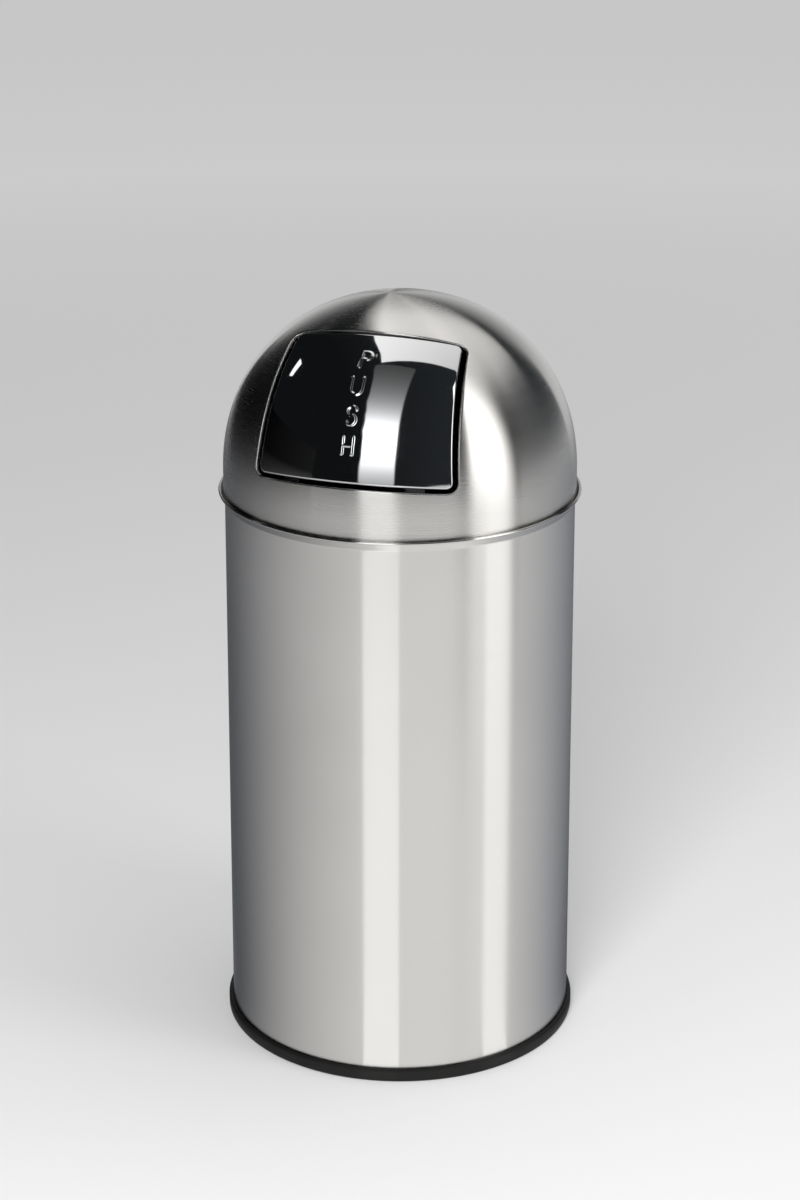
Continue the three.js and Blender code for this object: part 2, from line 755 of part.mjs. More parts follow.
// The left ear and its rivets are the right ones turned half round the axis.
const rightHoles = rivetHoles();
const wall = linerWall().subtract(rightHoles).subtract(rightHoles.rotate([0, 0, 180]));
const liner = group(
  "liner",
  piece("liner_wall", wall, galvanised),
  piece("liner_bottom", linerBottom(), galvanised),
);
for (const [side, hand] of sides) {
  const fittings = group("fittings_" + hand, piece("bail_ear_" + hand, bailEar(), zincPlate));
  for (const [way, place] of [[-1, "front"], [1, "rear"]])
    fittings.add(piece(`ear_rivet_${hand}_${place}`, earRivet(side * way), zincPlate));
  fittings.rotation.z = side > 0 ? 0 : Math.PI;
  liner.add(fittings);
}

// The bail lies folded to the rear, its arch against the liner's wall.
const bailDrop = Math.acos((linerRadius + bailWire + fit) / bailRadius);
const bail = group("bail", piece("bail_handle", bailHandle(), zincPlate));
bail.position.z = pivotHeight;
bail.rotation.x = -(Math.PI / 2 + bailDrop);
liner.add(bail);

const lid = group(
  "lid",
  piece("dome_shell", domeShell(), brushedSteel),
  piece("lid_collar", lidCollar(), brushedSteel),
);
const wire = springPath();
const hingeSet = group(
  "hinge",
  piece("hinge_pin", hingePin(), springSteel),
  piece("torsion_spring", tube(wire, springWire, springFacets), springSteel),
);
hingeSet.position.copy(hinge);
const flap = group("flap", piece("flap_panel", flapPanel(), mirrorSteel));
for (const [side, hand] of sides) {
  lid.add(piece("hinge_bracket_" + hand, hingeBracket(side), zincPlate));
  lid.add(piece("stop_bumper_" + hand, stopBumper(side), rubber));
  hingeSet.add(piece("pin_clip_" + hand, pinClip(side), springSteel));
  hingeSet.add(piece("hinge_washer_" + hand, hingeWasher(side), nylon));
  flap.add(piece("flap_ear_" + hand, flapEar(side), zincPlate));
  flap.add(piece("stop_tab_" + hand, stopTab(side), zincPlate));
}
lid.add(hingeSet, flap);
lid.position.z = springLine;

const ownGap = leastGap(wire, springWire, coilSteps - 1);
console.log("spring wire's least gap to itself:", ownGap.toFixed(2), "mm");

export default group("dome_top_receptacle", bin, liner, lid);
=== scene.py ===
"""A dome-top waste receptacle: a brushed stainless tube on a rubber ring, a lift-off dome with a
sprung, mirror-polished push flap, and a galvanised bucket with a wire bail inside it.

Shapes are worked out in millimetres and put into their meshes in metres. +Z is up, the flap faces
-Y, and the origin is on the bin's axis at floor level.
"""
import math

import bpy
import bmesh
import numpy as np
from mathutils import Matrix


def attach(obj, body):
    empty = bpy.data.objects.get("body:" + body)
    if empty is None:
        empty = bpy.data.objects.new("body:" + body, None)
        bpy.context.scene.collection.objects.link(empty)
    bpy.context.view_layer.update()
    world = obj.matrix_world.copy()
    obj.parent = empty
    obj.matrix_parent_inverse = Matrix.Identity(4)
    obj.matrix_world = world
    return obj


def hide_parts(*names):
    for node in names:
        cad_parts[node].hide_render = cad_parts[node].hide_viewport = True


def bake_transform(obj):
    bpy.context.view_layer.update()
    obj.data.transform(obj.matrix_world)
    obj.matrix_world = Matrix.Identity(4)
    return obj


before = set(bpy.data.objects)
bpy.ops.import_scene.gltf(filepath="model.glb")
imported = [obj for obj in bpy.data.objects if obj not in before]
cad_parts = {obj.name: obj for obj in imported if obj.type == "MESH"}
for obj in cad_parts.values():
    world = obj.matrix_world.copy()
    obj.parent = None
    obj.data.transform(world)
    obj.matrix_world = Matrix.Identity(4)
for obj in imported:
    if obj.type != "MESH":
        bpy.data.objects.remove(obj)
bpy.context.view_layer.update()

MM = 0.001
TAU = 2 * math.pi

# ---------------------------------------------------------------- sizes, as in the part's source

SHEET = 0.8
BODY_RADIUS = 170.0
BODY_FOOT = 3.0
FLARE_START = 541.9
RIM_RADIUS = 174.8
RIM_HEIGHT = 549.9
RIM_BEAD = 1.4

RING_RADIUS = 174.4
RING_HEIGHT = 12.4
RING_FLOOR = 2.7
RING_TREAD = 14.0
PLATE_TOP = 7.0

LINER_SHEET = 0.6
LINER_RADIUS = 151.5
LINER_FOOT = 7.3
LINER_TOP = 517.1
LINER_TAPER = 6.0
LINER_BEAD = 2.8
LINER_FLOOR = 12.3
PIVOT_HEIGHT = 497.1
BAIL_RADIUS = 162.0
BAIL_WIRE = 2.25
BAIL_BEND = 4.0
BAIL_LEVEL_REACH = 154.05
BAIL_DROP = math.acos(BAIL_LEVEL_REACH / BAIL_RADIUS)
EAR_INNER = 151.741
EAR_SHEET = 1.2
EAR_LIFT = 3.6

DOME_RADIUS = 171.3
DOME_RISE = 171.3
DOME_POWER = 2.12
DOME_CENTRE = 569.55
SKIRT = 24.0

OPENING_FOOT = 29.3
OPENING_HEIGHT = 158.4
FOOT_HALF = 105.2
TOP_HALF = 87.5
TOP_RISE = 15.0
OPENING_CORNER = 11.0
LIP_DEPTH = 3.5
LIP_BEND = 1.3
FLAP_SIDE_GAP = 5.0
FLAP_FOOT_GAP = 4.2
FLAP_TOP_GAP = 2.2
FLAP_CORNER = 8.0
FLAP_RECESS = 0.8
FLAP_BEND = 2.3
FLANGE_DEPTH = 6.0

HINGE_Y = -68.957
HINGE_Z = 703.617

# ---------------------------------------------------------------- meshes from arrays

END_DOME = 0.6


def quads(rows, columns, close_rows=False, close_columns=False):
    """Faces of a rows by columns grid of points: each joins a point to the next along both ways.
    They face out where rows x columns does."""
    i, j = np.meshgrid(
        np.arange(rows if close_rows else rows - 1),
        np.arange(columns if close_columns else columns - 1),
        indexing="ij",
    )
    i, j = i.ravel(), j.ravel()
    k, m = (i + 1) % rows, (j + 1) % columns
    return np.stack([i * columns + j, k * columns + j, k * columns + m, i * columns + m], axis=1)


def piece(name, points, faces, material, slot, body, replaced=(), crease=40.0):
    """A mesh object from points in millimetres and a list of face arrays, smooth but for edges
    sharper than the crease angle, riding on a body."""
    mesh = bpy.data.meshes.new(name)
    polygons = [row for block in faces for row in np.asarray(block).tolist()]
    mesh.from_pydata((np.asarray(points) * MM).tolist(), [], polygons)
    mesh.update()
    mesh.shade_smooth()
    mesh.set_sharp_from_angle(angle=math.radians(crease))
    mesh.materials.append(material)
    made = bpy.data.objects.new(name, mesh)
    bpy.context.scene.collection.objects.link(made)
    if replaced:
        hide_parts(*replaced)
    if body:
        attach(made, body)
    return made


def rounded(corners, radii, steps=6, closed=True):
    """A polyline with its corners rounded: each corner becomes an arc that touches both of its
    sides, from tangent point to tangent point."""
    corners = np.asarray(corners, float)
    radii = np.broadcast_to(np.asarray(radii, float), len(corners))
    out = []
    for i, (corner, radius) in enumerate(zip(corners, radii)):
        if radius <= 0 or (not closed and i in (0, len(corners) - 1)):
            out.append(corner[None])
            continue
        before = corners[i - 1] - corner
        after = corners[(i + 1) % len(corners)] - corner
        before, after = before / np.linalg.norm(before), after / np.linalg.norm(after)
        half = math.acos(float(np.clip(before @ after, -1, 1))) / 2
        centre = corner + (before + after) / np.linalg.norm(before + after) * radius / math.sin(half)
        start = corner + before * radius / math.tan(half) - centre
        end = corner + after * radius / math.tan(half) - centre
        swing = math.atan2(start[0] * end[1] - start[1] * end[0], start @ end)
        turn = np.linspace(0, swing, steps + 1)
        cos, sin = np.cos(turn), np.sin(turn)
        arc = np.stack([start[0] * cos - start[1] * sin, start[0] * sin + start[1] * cos], axis=1)
        out.append(centre + arc)
    return np.concatenate(out)


def sheet_section(path, thickness):
    """The closed section of a sheet whose middle follows a path: each point moved half of the
    thickness to either side, across the mean of its two neighbouring runs."""
    path = np.asarray(path, float)
    run = np.gradient(path, axis=0)
    across = np.stack([-run[:, 1], run[:, 0]], axis=1)
    across *= thickness / 2 / np.linalg.norm(across, axis=1, keepdims=True)
    return np.concatenate([path + across, (path - across)[::-1]])


def turned(section, sides, stretch=None):
    """A closed (radius, height) section turned about Z: (r cos a, r sin a, z), facing outwards
    whichever way it runs. The stretch is a function of the angle that is added to the radius."""
    section = np.asarray(section, float)
    radius, height = section[:, 0], section[:, 1]
    area = np.sum(radius * np.roll(height, -1) - np.roll(radius, -1) * height)
    if area > 0:
        section = section[::-1]
    angle = np.linspace(0, TAU, sides, endpoint=False)
    grow = np.zeros(sides) if stretch is None else stretch(angle)
    radius = section[:, :1] + grow[None] * (section[:, :1] > 1)
    height = np.broadcast_to(section[:, 1:], (len(section), sides))
    points = np.stack([radius * np.cos(angle), radius * np.sin(angle), height], axis=-1)
    return points.reshape(-1, 3), [quads(len(section), sides, close_rows=True, close_columns=True)]


def tube_faces(rows, sides):
    """Faces of a tube of rings, closed at both ends by fans about two points that follow its own."""
    here = np.arange(sides)
    after = (here + 1) % sides
    tip = np.full(sides, rows * sides)
    last = (rows - 1) * sides
    start = np.stack([tip, after, here], axis=1)
    end = np.stack([tip + 1, last + here, last + after], axis=1)
    return [quads(rows, sides, close_columns=True)[:, ::-1], start, end]


def capped(section, sides):
    """An open (radius, height) section turned about Z, both of its ends closed by a fan."""
    section = np.asarray(section, float)
    angle = np.linspace(0, TAU, sides, endpoint=False)
    ring = np.stack([np.cos(angle), np.sin(angle)], axis=1)
    level = (section[:, None, :1] * ring[None]).reshape(-1, 2)
    points = np.column_stack([level, np.repeat(section[:, 1], sides)])
    tips = [[0.0, 0.0, section[0, 1]], [0.0, 0.0, section[-1, 1]]]
    return np.concatenate([points, tips]), tube_faces(len(section), sides)


def wire(path, radius, sides=16):
    """A round wire along a path: a circle carried along it without twisting, its ends domed."""
    path = np.asarray(path, float)
    run = np.gradient(path, axis=0)
    run /= np.linalg.norm(run, axis=1, keepdims=True)
    side = np.cross(run[0], [1.0, 0.0, 0.0])
    if np.linalg.norm(side) < 0.5:
        side = np.cross(run[0], [0.0, 1.0, 0.0])
    sides_along = []
    for way in run:
        side = side - way * (side @ way)
        side /= np.linalg.norm(side)
        sides_along.append(side)
    side = np.array(sides_along)
    up = np.cross(run, side)
    steps = np.linspace(0, math.pi / 2, 5)[1:-1]
    shrink, reach = np.cos(steps), np.sin(steps)
    first_end, last_end = -run[0] * radius * END_DOME, run[-1] * radius * END_DOME
    centres = np.concatenate(
        [path[0] + first_end * reach[::-1, None], path, path[-1] + last_end * reach[:, None]]
    )
    scale = np.concatenate([shrink[::-1], np.ones(len(path)), shrink]) * radius
    side, up = (np.pad(ways, ((len(steps), len(steps)), (0, 0)), mode="edge") for ways in (side, up))
    angle = np.linspace(0, TAU, sides, endpoint=False)[:, None]
    ring = side[:, None] * np.cos(angle) + up[:, None] * np.sin(angle)
    points = centres[:, None] + ring * scale[:, None, None]
    tips = [path[0] + first_end, path[-1] + last_end]
    return np.concatenate([points.reshape(-1, 3), tips]), tube_faces(len(centres), sides)


def along_x(points, x=0.0, y=HINGE_Y, z=HINGE_Z):
    """Points drawn about Z, laid along X and moved to a place: Z becomes X, X becomes Y."""
    return np.stack([points[:, 2] + x, points[:, 0] + y, points[:, 1] + z], axis=1)


# ---------------------------------------------------------------- materials


def feed(made, target, sockets):
    """Set a node's sockets, by name or number: each to a number or tuple, or from an output."""
    for key, value in sockets.items():
        if isinstance(value, (int, float, tuple)):
            target.inputs[key].default_value = value
        else:
            made.node_tree.links.new(value, target.inputs[key])


def add(made, kind, sockets=None):
    """A new shader node of a material."""
    node = made.node_tree.nodes.new("ShaderNode" + kind)
    feed(made, node, sockets or {})
    return node


def shaded(name, kind):
    """A new material with one shader of a kind: it, its shader, and the place on the object."""
    made = bpy.data.materials.new(name)
    made.use_nodes = True
    made.node_tree.nodes.clear()
    output = add(made, "OutputMaterial")
    shader = add(made, kind)
    feed(made, output, {"Surface": shader.outputs[0]})
    return made, shader, add(made, "TexCoord").outputs["Object"]


def maths(made, operation, *values):
    """One Math node on sockets or plain numbers."""
    node = add(made, "Math")
    node.operation = operation
    feed(made, node, dict(enumerate(values)))
    return node.outputs[0]


def vectors(made, operation, *values):
    """One Vector Math node on sockets or plain vectors."""
    node = add(made, "VectorMath")
    node.operation = operation
    feed(made, node, dict(enumerate(values)))
    return node.outputs["Value" if operation in ("LENGTH", "DOT_PRODUCT") else "Vector"]


def noise(made, vector, scale, detail=2.0, roughness=0.5, output="Fac"):
    sockets = {"Scale": scale, "Detail": detail, "Roughness": roughness, "Vector": vector}
    return add(made, "TexNoise", sockets).outputs[output]


def spread(made, value, low, high, from_low=0.3, from_high=0.7):
    """A value carried from one range to another, and kept within the second."""
    sockets = {"From Min": from_low, "From Max": from_high, "To Min": low, "To Max": high, "Value": value}
    return add(made, "MapRange", sockets).outputs["Result"]


def blend_colours(made, factor, first, second):
    node = add(made, "Mix")
    node.data_type = "RGBA"
    feed(made, node, {"A": (*first, 1), "B": (*second, 1), "Factor": factor})
    return node.outputs["Result"]


def bump(made, shader, height, strength, distance):
    node = add(made, "Bump", {"Strength": strength, "Distance": distance, "Height": height})
    feed(made, shader, {"Normal": node.outputs["Normal"]})


def brushed_stainless(name, pole, rough, grain_depth, dome):
    """Satin stainless with fine brushing in circles about an upright axis through the pole. The
    streaks are noise drawn out along the circles: its place along one is the direction from the
    pole, times a little, and across them the height, or on a dome the angle down from the pole."""
    made, shader, place = shaded(name, "BsdfPrincipled")
    out = vectors(made, "SUBTRACT", place, pole)
    parts = add(made, "SeparateXYZ", {0: out}).outputs
    flat = add(made, "CombineXYZ", {0: parts[0], 1: parts[1]}).outputs[0]
    across = parts[2]
    if dome:
        angle = maths(made, "ARCTAN2", vectors(made, "LENGTH", flat), parts[2])
        across = maths(made, "MULTIPLY", angle, DOME_RADIUS * MM)
    ways = add(made, "SeparateXYZ", {0: vectors(made, "NORMALIZE", flat)}).outputs

    def streaks(along_scale, across_scale, detail):
        stretched = ((ways[0], along_scale), (ways[1], along_scale), (across, across_scale))
        scaled = {i: maths(made, "MULTIPLY", *pair) for i, pair in enumerate(stretched)}
        return noise(made, add(made, "CombineXYZ", scaled).outputs[0], 1.0, detail, 0.6)

    both = maths(made, "ADD", streaks(5.0, 3000.0, 2.0), streaks(2.5, 900.0, 3.0))
    tone = spread(made, both, 0.0, 1.0, 0.7, 1.3)
    grain = spread(made, both, -grain_depth, grain_depth, 0.7, 1.3)
    patch = spread(made, noise(made, place, 6.0, 3.0), rough - 0.02, rough + 0.02)
    feed(made, shader, {
        "Tangent": vectors(made, "CROSS_PRODUCT", (0, 0, 1), out),
        "Base Color": blend_colours(made, tone, (0.745, 0.737, 0.724), (0.765, 0.758, 0.746)),
        "Roughness": maths(made, "ADD", grain, patch),
        "Metallic": 1.0,
        "Anisotropic": 1.0,
        "Anisotropic Rotation": 0.25,
    })
    bump(made, shader, both, 0.5, 0.000001)
    return made


def mirror_stainless(name):
    """Polished stainless with the faint haze of its last, horizontal polishing pass."""
    made, shader, place = shaded(name, "BsdfPrincipled")
    drawn = add(made, "Mapping", {"Scale": (14.0, 14.0, 1500.0), "Vector": place}).outputs[0]
    haze = noise(made, place, 18.0, 3.0)
    feed(made, shader, {
        "Roughness": spread(made, haze, 0.035, 0.06),
        "Base Color": blend_colours(made, haze, (0.70, 0.71, 0.725), (0.74, 0.75, 0.762)),
        "Metallic": 1.0,
    })
    bump(made, shader, noise(made, drawn, 1.0), 0.12, 0.00001)
    return made


def galvanised_sheet(name):
    """Hot-dip zinc: crystals of 4 to 12 mm, each with its own shade and gloss, under a cloudy
    bloom."""
    made, shader, place = shaded(name, "BsdfPrincipled")
    bent = vectors(made, "SCALE", noise(made, place, 70.0, output="Color"))
    feed(made, bent.node, {"Scale": 0.006})
    cells = add(made, "TexVoronoi", {"Scale": 115.0, "Vector": vectors(made, "ADD", place, bent)})
    shade = add(made, "SeparateColor", {0: cells.outputs["Color"]}).outputs
    gloss = spread(made, shade[1], 0.3, 0.52, 0.0, 1.0)
    bloom = spread(made, noise(made, place, 14.0, 4.0), -0.04, 0.08)
    feed(made, shader, {
        "Base Color": blend_colours(made, shade[0], (0.42, 0.435, 0.45), (0.62, 0.635, 0.65)),
        "Roughness": maths(made, "ADD", gloss, bloom),
        "Metallic": 1.0,
    })
    bump(made, shader, shade[2], 0.25, 0.00008)
    return made


def clouded(name, dark, light, rough, clouds, grain_scale, swing, relief_depth, plain):
    """Two tones in soft clouds, and a fine grain in the gloss and the surface. The relief is a
    strength and a depth, and plain holds the sockets that are the same all over."""
    made, shader, place = shaded(name, "BsdfPrincipled")
    cloud = spread(made, noise(made, place, clouds, 4.0), 0.0, 1.0)
    grain = noise(made, place, grain_scale)
    feed(made, shader, {
        "Base Color": blend_colours(made, cloud, dark, light),
        "Roughness": spread(made, grain, rough - swing, rough + swing),
        **plain,
    })
    bump(made, shader, grain, *relief_depth)
    return made


def plain_metal(name, dark, light, rough, grain_scale):
    """Plated or drawn steel."""
    return clouded(name, dark, light, rough, 60.0, grain_scale, 0.07, (0.15, 0.00003), {"Metallic": 1.0})


def soft_plastic(name, dark, light, rough, depth, sheen):
    """Rubber or nylon with a moulded grain."""
    plain = {"Specular IOR Level": sheen}
    return clouded(name, dark, light, rough, 25.0, 2200.0, 0.06, (0.3, depth), plain)


BRUSH_POLE = (-0.012, 0.006, DOME_CENTRE * MM)
tube_steel = brushed_stainless("brushed_tube", (0.0, 0.0, 0.0), 0.185, 0.003, False)
dome_steel = brushed_stainless("brushed_dome", BRUSH_POLE, 0.25, 0.026, True)
flap_steel = mirror_stainless("mirror_flap")
zinc_sheet = galvanised_sheet("galvanised_spangle")
dull_zinc = plain_metal("dull_zinc", (0.13, 0.133, 0.137), (0.19, 0.193, 0.197), 0.5, 900.0)
zinc_plated = plain_metal("bright_zinc", (0.56, 0.57, 0.58), (0.66, 0.67, 0.685), 0.32, 900.0)
spring_steel = plain_metal("drawn_steel", (0.33, 0.335, 0.34), (0.46, 0.465, 0.47), 0.3, 1400.0)
black_rubber = soft_plastic(
    "moulded_rubber", (0.008, 0.008, 0.008), (0.013, 0.0125, 0.012), 0.5, 0.00003, 0.22
)
white_nylon = soft_plastic("turned_nylon", (0.78, 0.77, 0.73), (0.85, 0.84, 0.80), 0.45, 0.00002, 0.5)

STAINLESS = "brushed_stainless"
MIRROR = "mirror_stainless"
GALVANISED = "galvanised_sheet"
ZINC = "zinc_plate"
SPRING = "spring_steel"
RUBBER = "black_rubber"
NYLON = "white_nylon"

# ---------------------------------------------------------------- body


def curl(centre, radius, start, sweep, steps):
    """Points of an arc about a centre, from a start angle through a sweep, both in degrees."""
    angle = np.radians(start + sweep * np.linspace(0, 1, steps + 1))
    return np.stack([centre[0] + radius * np.cos(angle), centre[1] + radius * np.sin(angle)], axis=1)


SEAM_RISE, SEAM_WIDTH = 0.15, 1.3


def body_tube():
    """The tube's section is its sheet's middle line: straight up, a soft flare outwards, and a
    tight curl over the outside. The lengthwise weld at the rear stands a little proud."""
    middle = BODY_RADIUS - SHEET / 2
    bead = RIM_BEAD - SHEET / 2
    flare = rounded(
        [[middle, BODY_FOOT], [middle, FLARE_START - 0.5], [RIM_RADIUS - bead, RIM_HEIGHT - 1.2],
         [RIM_RADIUS - bead, RIM_HEIGHT]],
        [0, 4.0, 1.5, 0],
        steps=12,
        closed=False,
    )
    lower = np.column_stack([np.full(12, middle), np.linspace(BODY_FOOT, 500, 12)])
    lip = curl((RIM_RADIUS, RIM_HEIGHT), bead, 180, -285, 16)
    path = np.concatenate([lower, flare[1:], lip[1:]])

    def seam(angle):
        return SEAM_RISE * np.exp(-(((angle - math.pi / 2) * BODY_RADIUS / SEAM_WIDTH) ** 2))

    return turned(sheet_section(path, SHEET), 720, stretch=seam)


piece("body_tube", *body_tube(), tube_steel, STAINLESS, "bin", ["body_shell"])

RING_INNER = BODY_RADIUS + 0.3
ring_section = rounded(
    [
        [RING_RADIUS - RING_TREAD, 0.0],
        [RING_RADIUS, 0.0],
        [RING_RADIUS, RING_HEIGHT],
        [RING_INNER, RING_HEIGHT],
        [RING_INNER, RING_FLOOR],
        [RING_RADIUS - RING_TREAD, RING_FLOOR],
    ],
    [0.5, 2.2, 2.6, 0.4, 0, 0.5],
    steps=8,
)
piece("foot_ring", *turned(ring_section, 256), black_rubber, RUBBER, "bin", ["base_ring"])


def hump(distance, width):
    """A cosine hump: 1 in its middle, 0 from a width away."""
    return 0.5 + 0.5 * np.cos(math.pi * np.clip(np.abs(distance) / width, 0, 1))


def pan(top, foot, edge, thickness, bend, ribs):
    """A shallow round pan with its rim turned down: a flat disc with low ring-shaped ribs, each a
    cosine hump in height, then a bend and a straight rim."""
    flat = np.linspace(0.001, edge - bend, 120)
    height = np.full_like(flat, top - thickness / 2)
    for radius, width, rise in ribs:
        height += rise * hump(flat - radius, width)
    level = top - thickness / 2
    rim = rounded([[edge - bend, level], [edge, level], [edge, foot]], [0, bend * 0.99, 0], closed=False)
    path = np.concatenate([np.column_stack([flat, height]), rim[1:]])
    return turned(sheet_section(path, thickness), 160)


# ---------------------------------------------------------------- bucket


def liner_radius(height):
    return LINER_RADIUS - LINER_TAPER * (LINER_TOP - height) / (LINER_TOP - LINER_FOOT)


def bucket_wall():
    """A tapered wall with two low swaged rings, drawn as cosine humps in radius, and a rim rolled
    outwards."""
    height = np.concatenate([np.linspace(LINER_FOOT, 505, 120), [509.0]])
    radius = liner_radius(height) - LINER_SHEET / 2
    for ring in (150.0, 420.0):
        radius += 1.6 * hump(height - ring, 7.0)
    centre = (LINER_RADIUS + LINER_BEAD, LINER_TOP)
    lip = curl(centre, LINER_BEAD - LINER_SHEET / 2, 185, -320, 22)
    path = np.concatenate([np.column_stack([radius, height]), lip])
    return turned(sheet_section(path, LINER_SHEET), 256)


piece("bucket_wall", *bucket_wall(), zinc_sheet, GALVANISED, "liner", ["liner_wall"])
bottom = pan(LINER_FLOOR + 0.3, LINER_FOOT, liner_radius(LINER_FOOT) - 1.2, LINER_SHEET, 3.0,
             [(60, 6, 1.2), (125, 6, 1.2)])
piece("bucket_bottom", *bottom, zinc_sheet, GALVANISED, "liner", ["liner_bottom"])
plate = pan(PLATE_TOP, BODY_FOOT, BODY_RADIUS - 1.5, SHEET, 2.5, [(70, 6, -1.4), (120, 6, -1.4)])
piece("floor_plate", *plate, zinc_sheet, GALVANISED, "bin", ["base_plate"])

RIVET = [[0.02, -1.4], [1.3, -1.36], [2.5, -1.05], [3.3, -0.55], [3.6, 0.0], [1.8, 0.0]]


def rivet(radius_in, radius_out, angle):
    """A rivet along the bucket's radius at an angle: a low domed head, the shank, and a like head
    outside."""
    head = np.array(RIVET)
    section = np.concatenate([head + [0, radius_in], (head * [1, -1] + [0, radius_out])[::-1]])
    points, faces = capped(section, 24)
    cos, sin = math.cos(angle), math.sin(angle)
    out, side, up = points[:, 2], points[:, 0], points[:, 1]
    placed = np.stack([out * cos - side * sin, out * sin + side * cos, up + PIVOT_HEIGHT], axis=1)
    return placed, faces


rivet_angle = math.asin(16.0 / LINER_RADIUS)
rivet_ends = (liner_radius(PIVOT_HEIGHT) - LINER_SHEET - 0.6, EAR_INNER + EAR_SHEET + 0.3)
for side, hand in ((1, "right"), (-1, "left")):
    for way, place in ((-1, "front"), (1, "rear")):
        angle = way * rivet_angle if side > 0 else math.pi - way * rivet_angle
        piece(f"rivet_{hand}_{place}", *rivet(*rivet_ends, angle), zinc_plated, ZINC, "liner",
              [f"ear_rivet_{hand}_{place}"])


def bail():
    """A half circle of wire with its ends bent in through the ears, turned about the pivots so that
    it lies on the bucket's wall at the rear."""
    start = math.asin(BAIL_BEND / BAIL_RADIUS)
    end = EAR_INNER + EAR_LIFT - 1.7 + 1.0
    turn = np.linspace(-math.pi / 2, 0, 9)
    bend = np.stack(
        [BAIL_RADIUS - BAIL_BEND + BAIL_BEND * np.cos(turn), BAIL_BEND + BAIL_BEND * np.sin(turn)],
        axis=1,
    )
    angle = np.linspace(start, math.pi - start, 121)[1:-1]
    arch = BAIL_RADIUS * np.stack([np.cos(angle), np.sin(angle)], axis=1)
    half = np.concatenate([[[end, 0.0]], bend])
    path = np.concatenate([half, arch, half[::-1] * [-1, 1]])
    out, up = -math.cos(BAIL_DROP), -math.sin(BAIL_DROP)
    placed = np.stack([path[:, 0], -path[:, 1] * out, PIVOT_HEIGHT + path[:, 1] * up], axis=1)
    return wire(placed, BAIL_WIRE, 20)


piece("bail_wire", *bail(), zinc_plated, ZINC, "bail", ["bail_handle"])

# ---------------------------------------------------------------- the dome's surface
# A direction from the dome's centre is also a point of a plane, by stereographic projection from
# the far side of the opening's middle. On it the shell is a ring between the opening and the skirt.

MID_RISE = (OPENING_FOOT + OPENING_HEIGHT / 2) / DOME_RADIUS
FACING = np.array([0.0, -math.cos(MID_RISE), math.sin(MID_RISE)])
ACROSS = np.array([1.0, 0.0, 0.0])
UPWARD = np.array([0.0, math.sin(MID_RISE), math.cos(MID_RISE)])


def to_plane(way):
    """(w.a, w.b) / (1 + w.c), with c the direction of the opening's middle."""
    return np.stack([way @ ACROSS, way @ UPWARD], axis=-1) / (1 + way @ FACING)[..., None]


def from_plane(spot):
    """The inverse of to_plane: (2a, 2b, 1 - r^2) / (1 + r^2) on the three directions."""
    square = np.sum(spot**2, axis=-1)[..., None]
    flat = 2 * spot[..., :1] * ACROSS + 2 * spot[..., 1:] * UPWARD
    return (flat + (1 - square) * FACING) / (1 + square)


def on_shell(way, depth=0.0):
    """The point of the dome in a direction: the superellipsoid's radius there, less a depth."""
    level = np.hypot(way[..., 0], way[..., 1]) / DOME_RADIUS
    rise = np.maximum(way[..., 2], 0) / DOME_RISE
    reach = (level**DOME_POWER + rise**DOME_POWER) ** (-1 / DOME_POWER)
    return way * (reach - depth)[..., None] + [0, 0, DOME_CENTRE]


def four_sided(across, along, turn, side_gap, foot_gap, top_gap, corner):
    """Directions of a four-sided field with round corners, bent onto the dome. Across runs from -1
    to 1, along from -1 to 1 between the corners, and turn is the angle within a corner."""
    mean = (FOOT_HALF + TOP_HALF) / 2
    tall = OPENING_HEIGHT / 2
    q = along * (tall - corner) + corner * np.sin(turn)
    p = across * (mean - corner + corner * np.cos(turn))
    u, v = p / mean, (q / tall + 1) / 2
    half = FOOT_HALF + (TOP_HALF - FOOT_HALF) * v - side_gap
    up = OPENING_FOOT + foot_gap + v * (OPENING_HEIGHT + TOP_RISE * u * u - foot_gap - top_gap)
    side, rise = u * half / DOME_RADIUS, up / DOME_RADIUS
    way = np.stack([np.sin(side), -np.cos(side) * np.cos(rise), np.cos(side) * np.sin(rise)], axis=-1)
    return way, u * half, up


def field_steps(long_steps, across_steps, corner_steps=10):
    """The three parameters of four_sided: a row of across values, and a column of pairs (along,
    turn) that runs up one side through both of its corners."""
    turn = np.radians(np.linspace(-90, 0, corner_steps + 1))
    along = np.concatenate([np.full(corner_steps, -1.0), long_steps, np.full(corner_steps, 1.0)])
    turns = np.concatenate([turn[:-1], np.zeros(len(long_steps)), -turn[:-1][::-1]])
    return across_steps, along, turns


def border(across, along, turn):
    """The grid's edge as one closed loop: foot, right side, top, left side."""
    sides = np.ones(len(along) - 2)

    def round_edge(up):
        foot, top = np.full(len(across), up[0]), np.full(len(across), up[-1])
        return np.concatenate([foot, up[1:-1], top, up[-2:0:-1]])

    return np.concatenate([across, sides, across[::-1], -sides]), round_edge(along), round_edge(turn)


def quarter(bend, steps=6):
    """(outward, depth) steps of a bend from the surface down into the opening."""
    turn = np.radians(np.linspace(0, 90, steps + 1))
    return bend - bend * np.sin(turn), bend - bend * np.cos(turn)


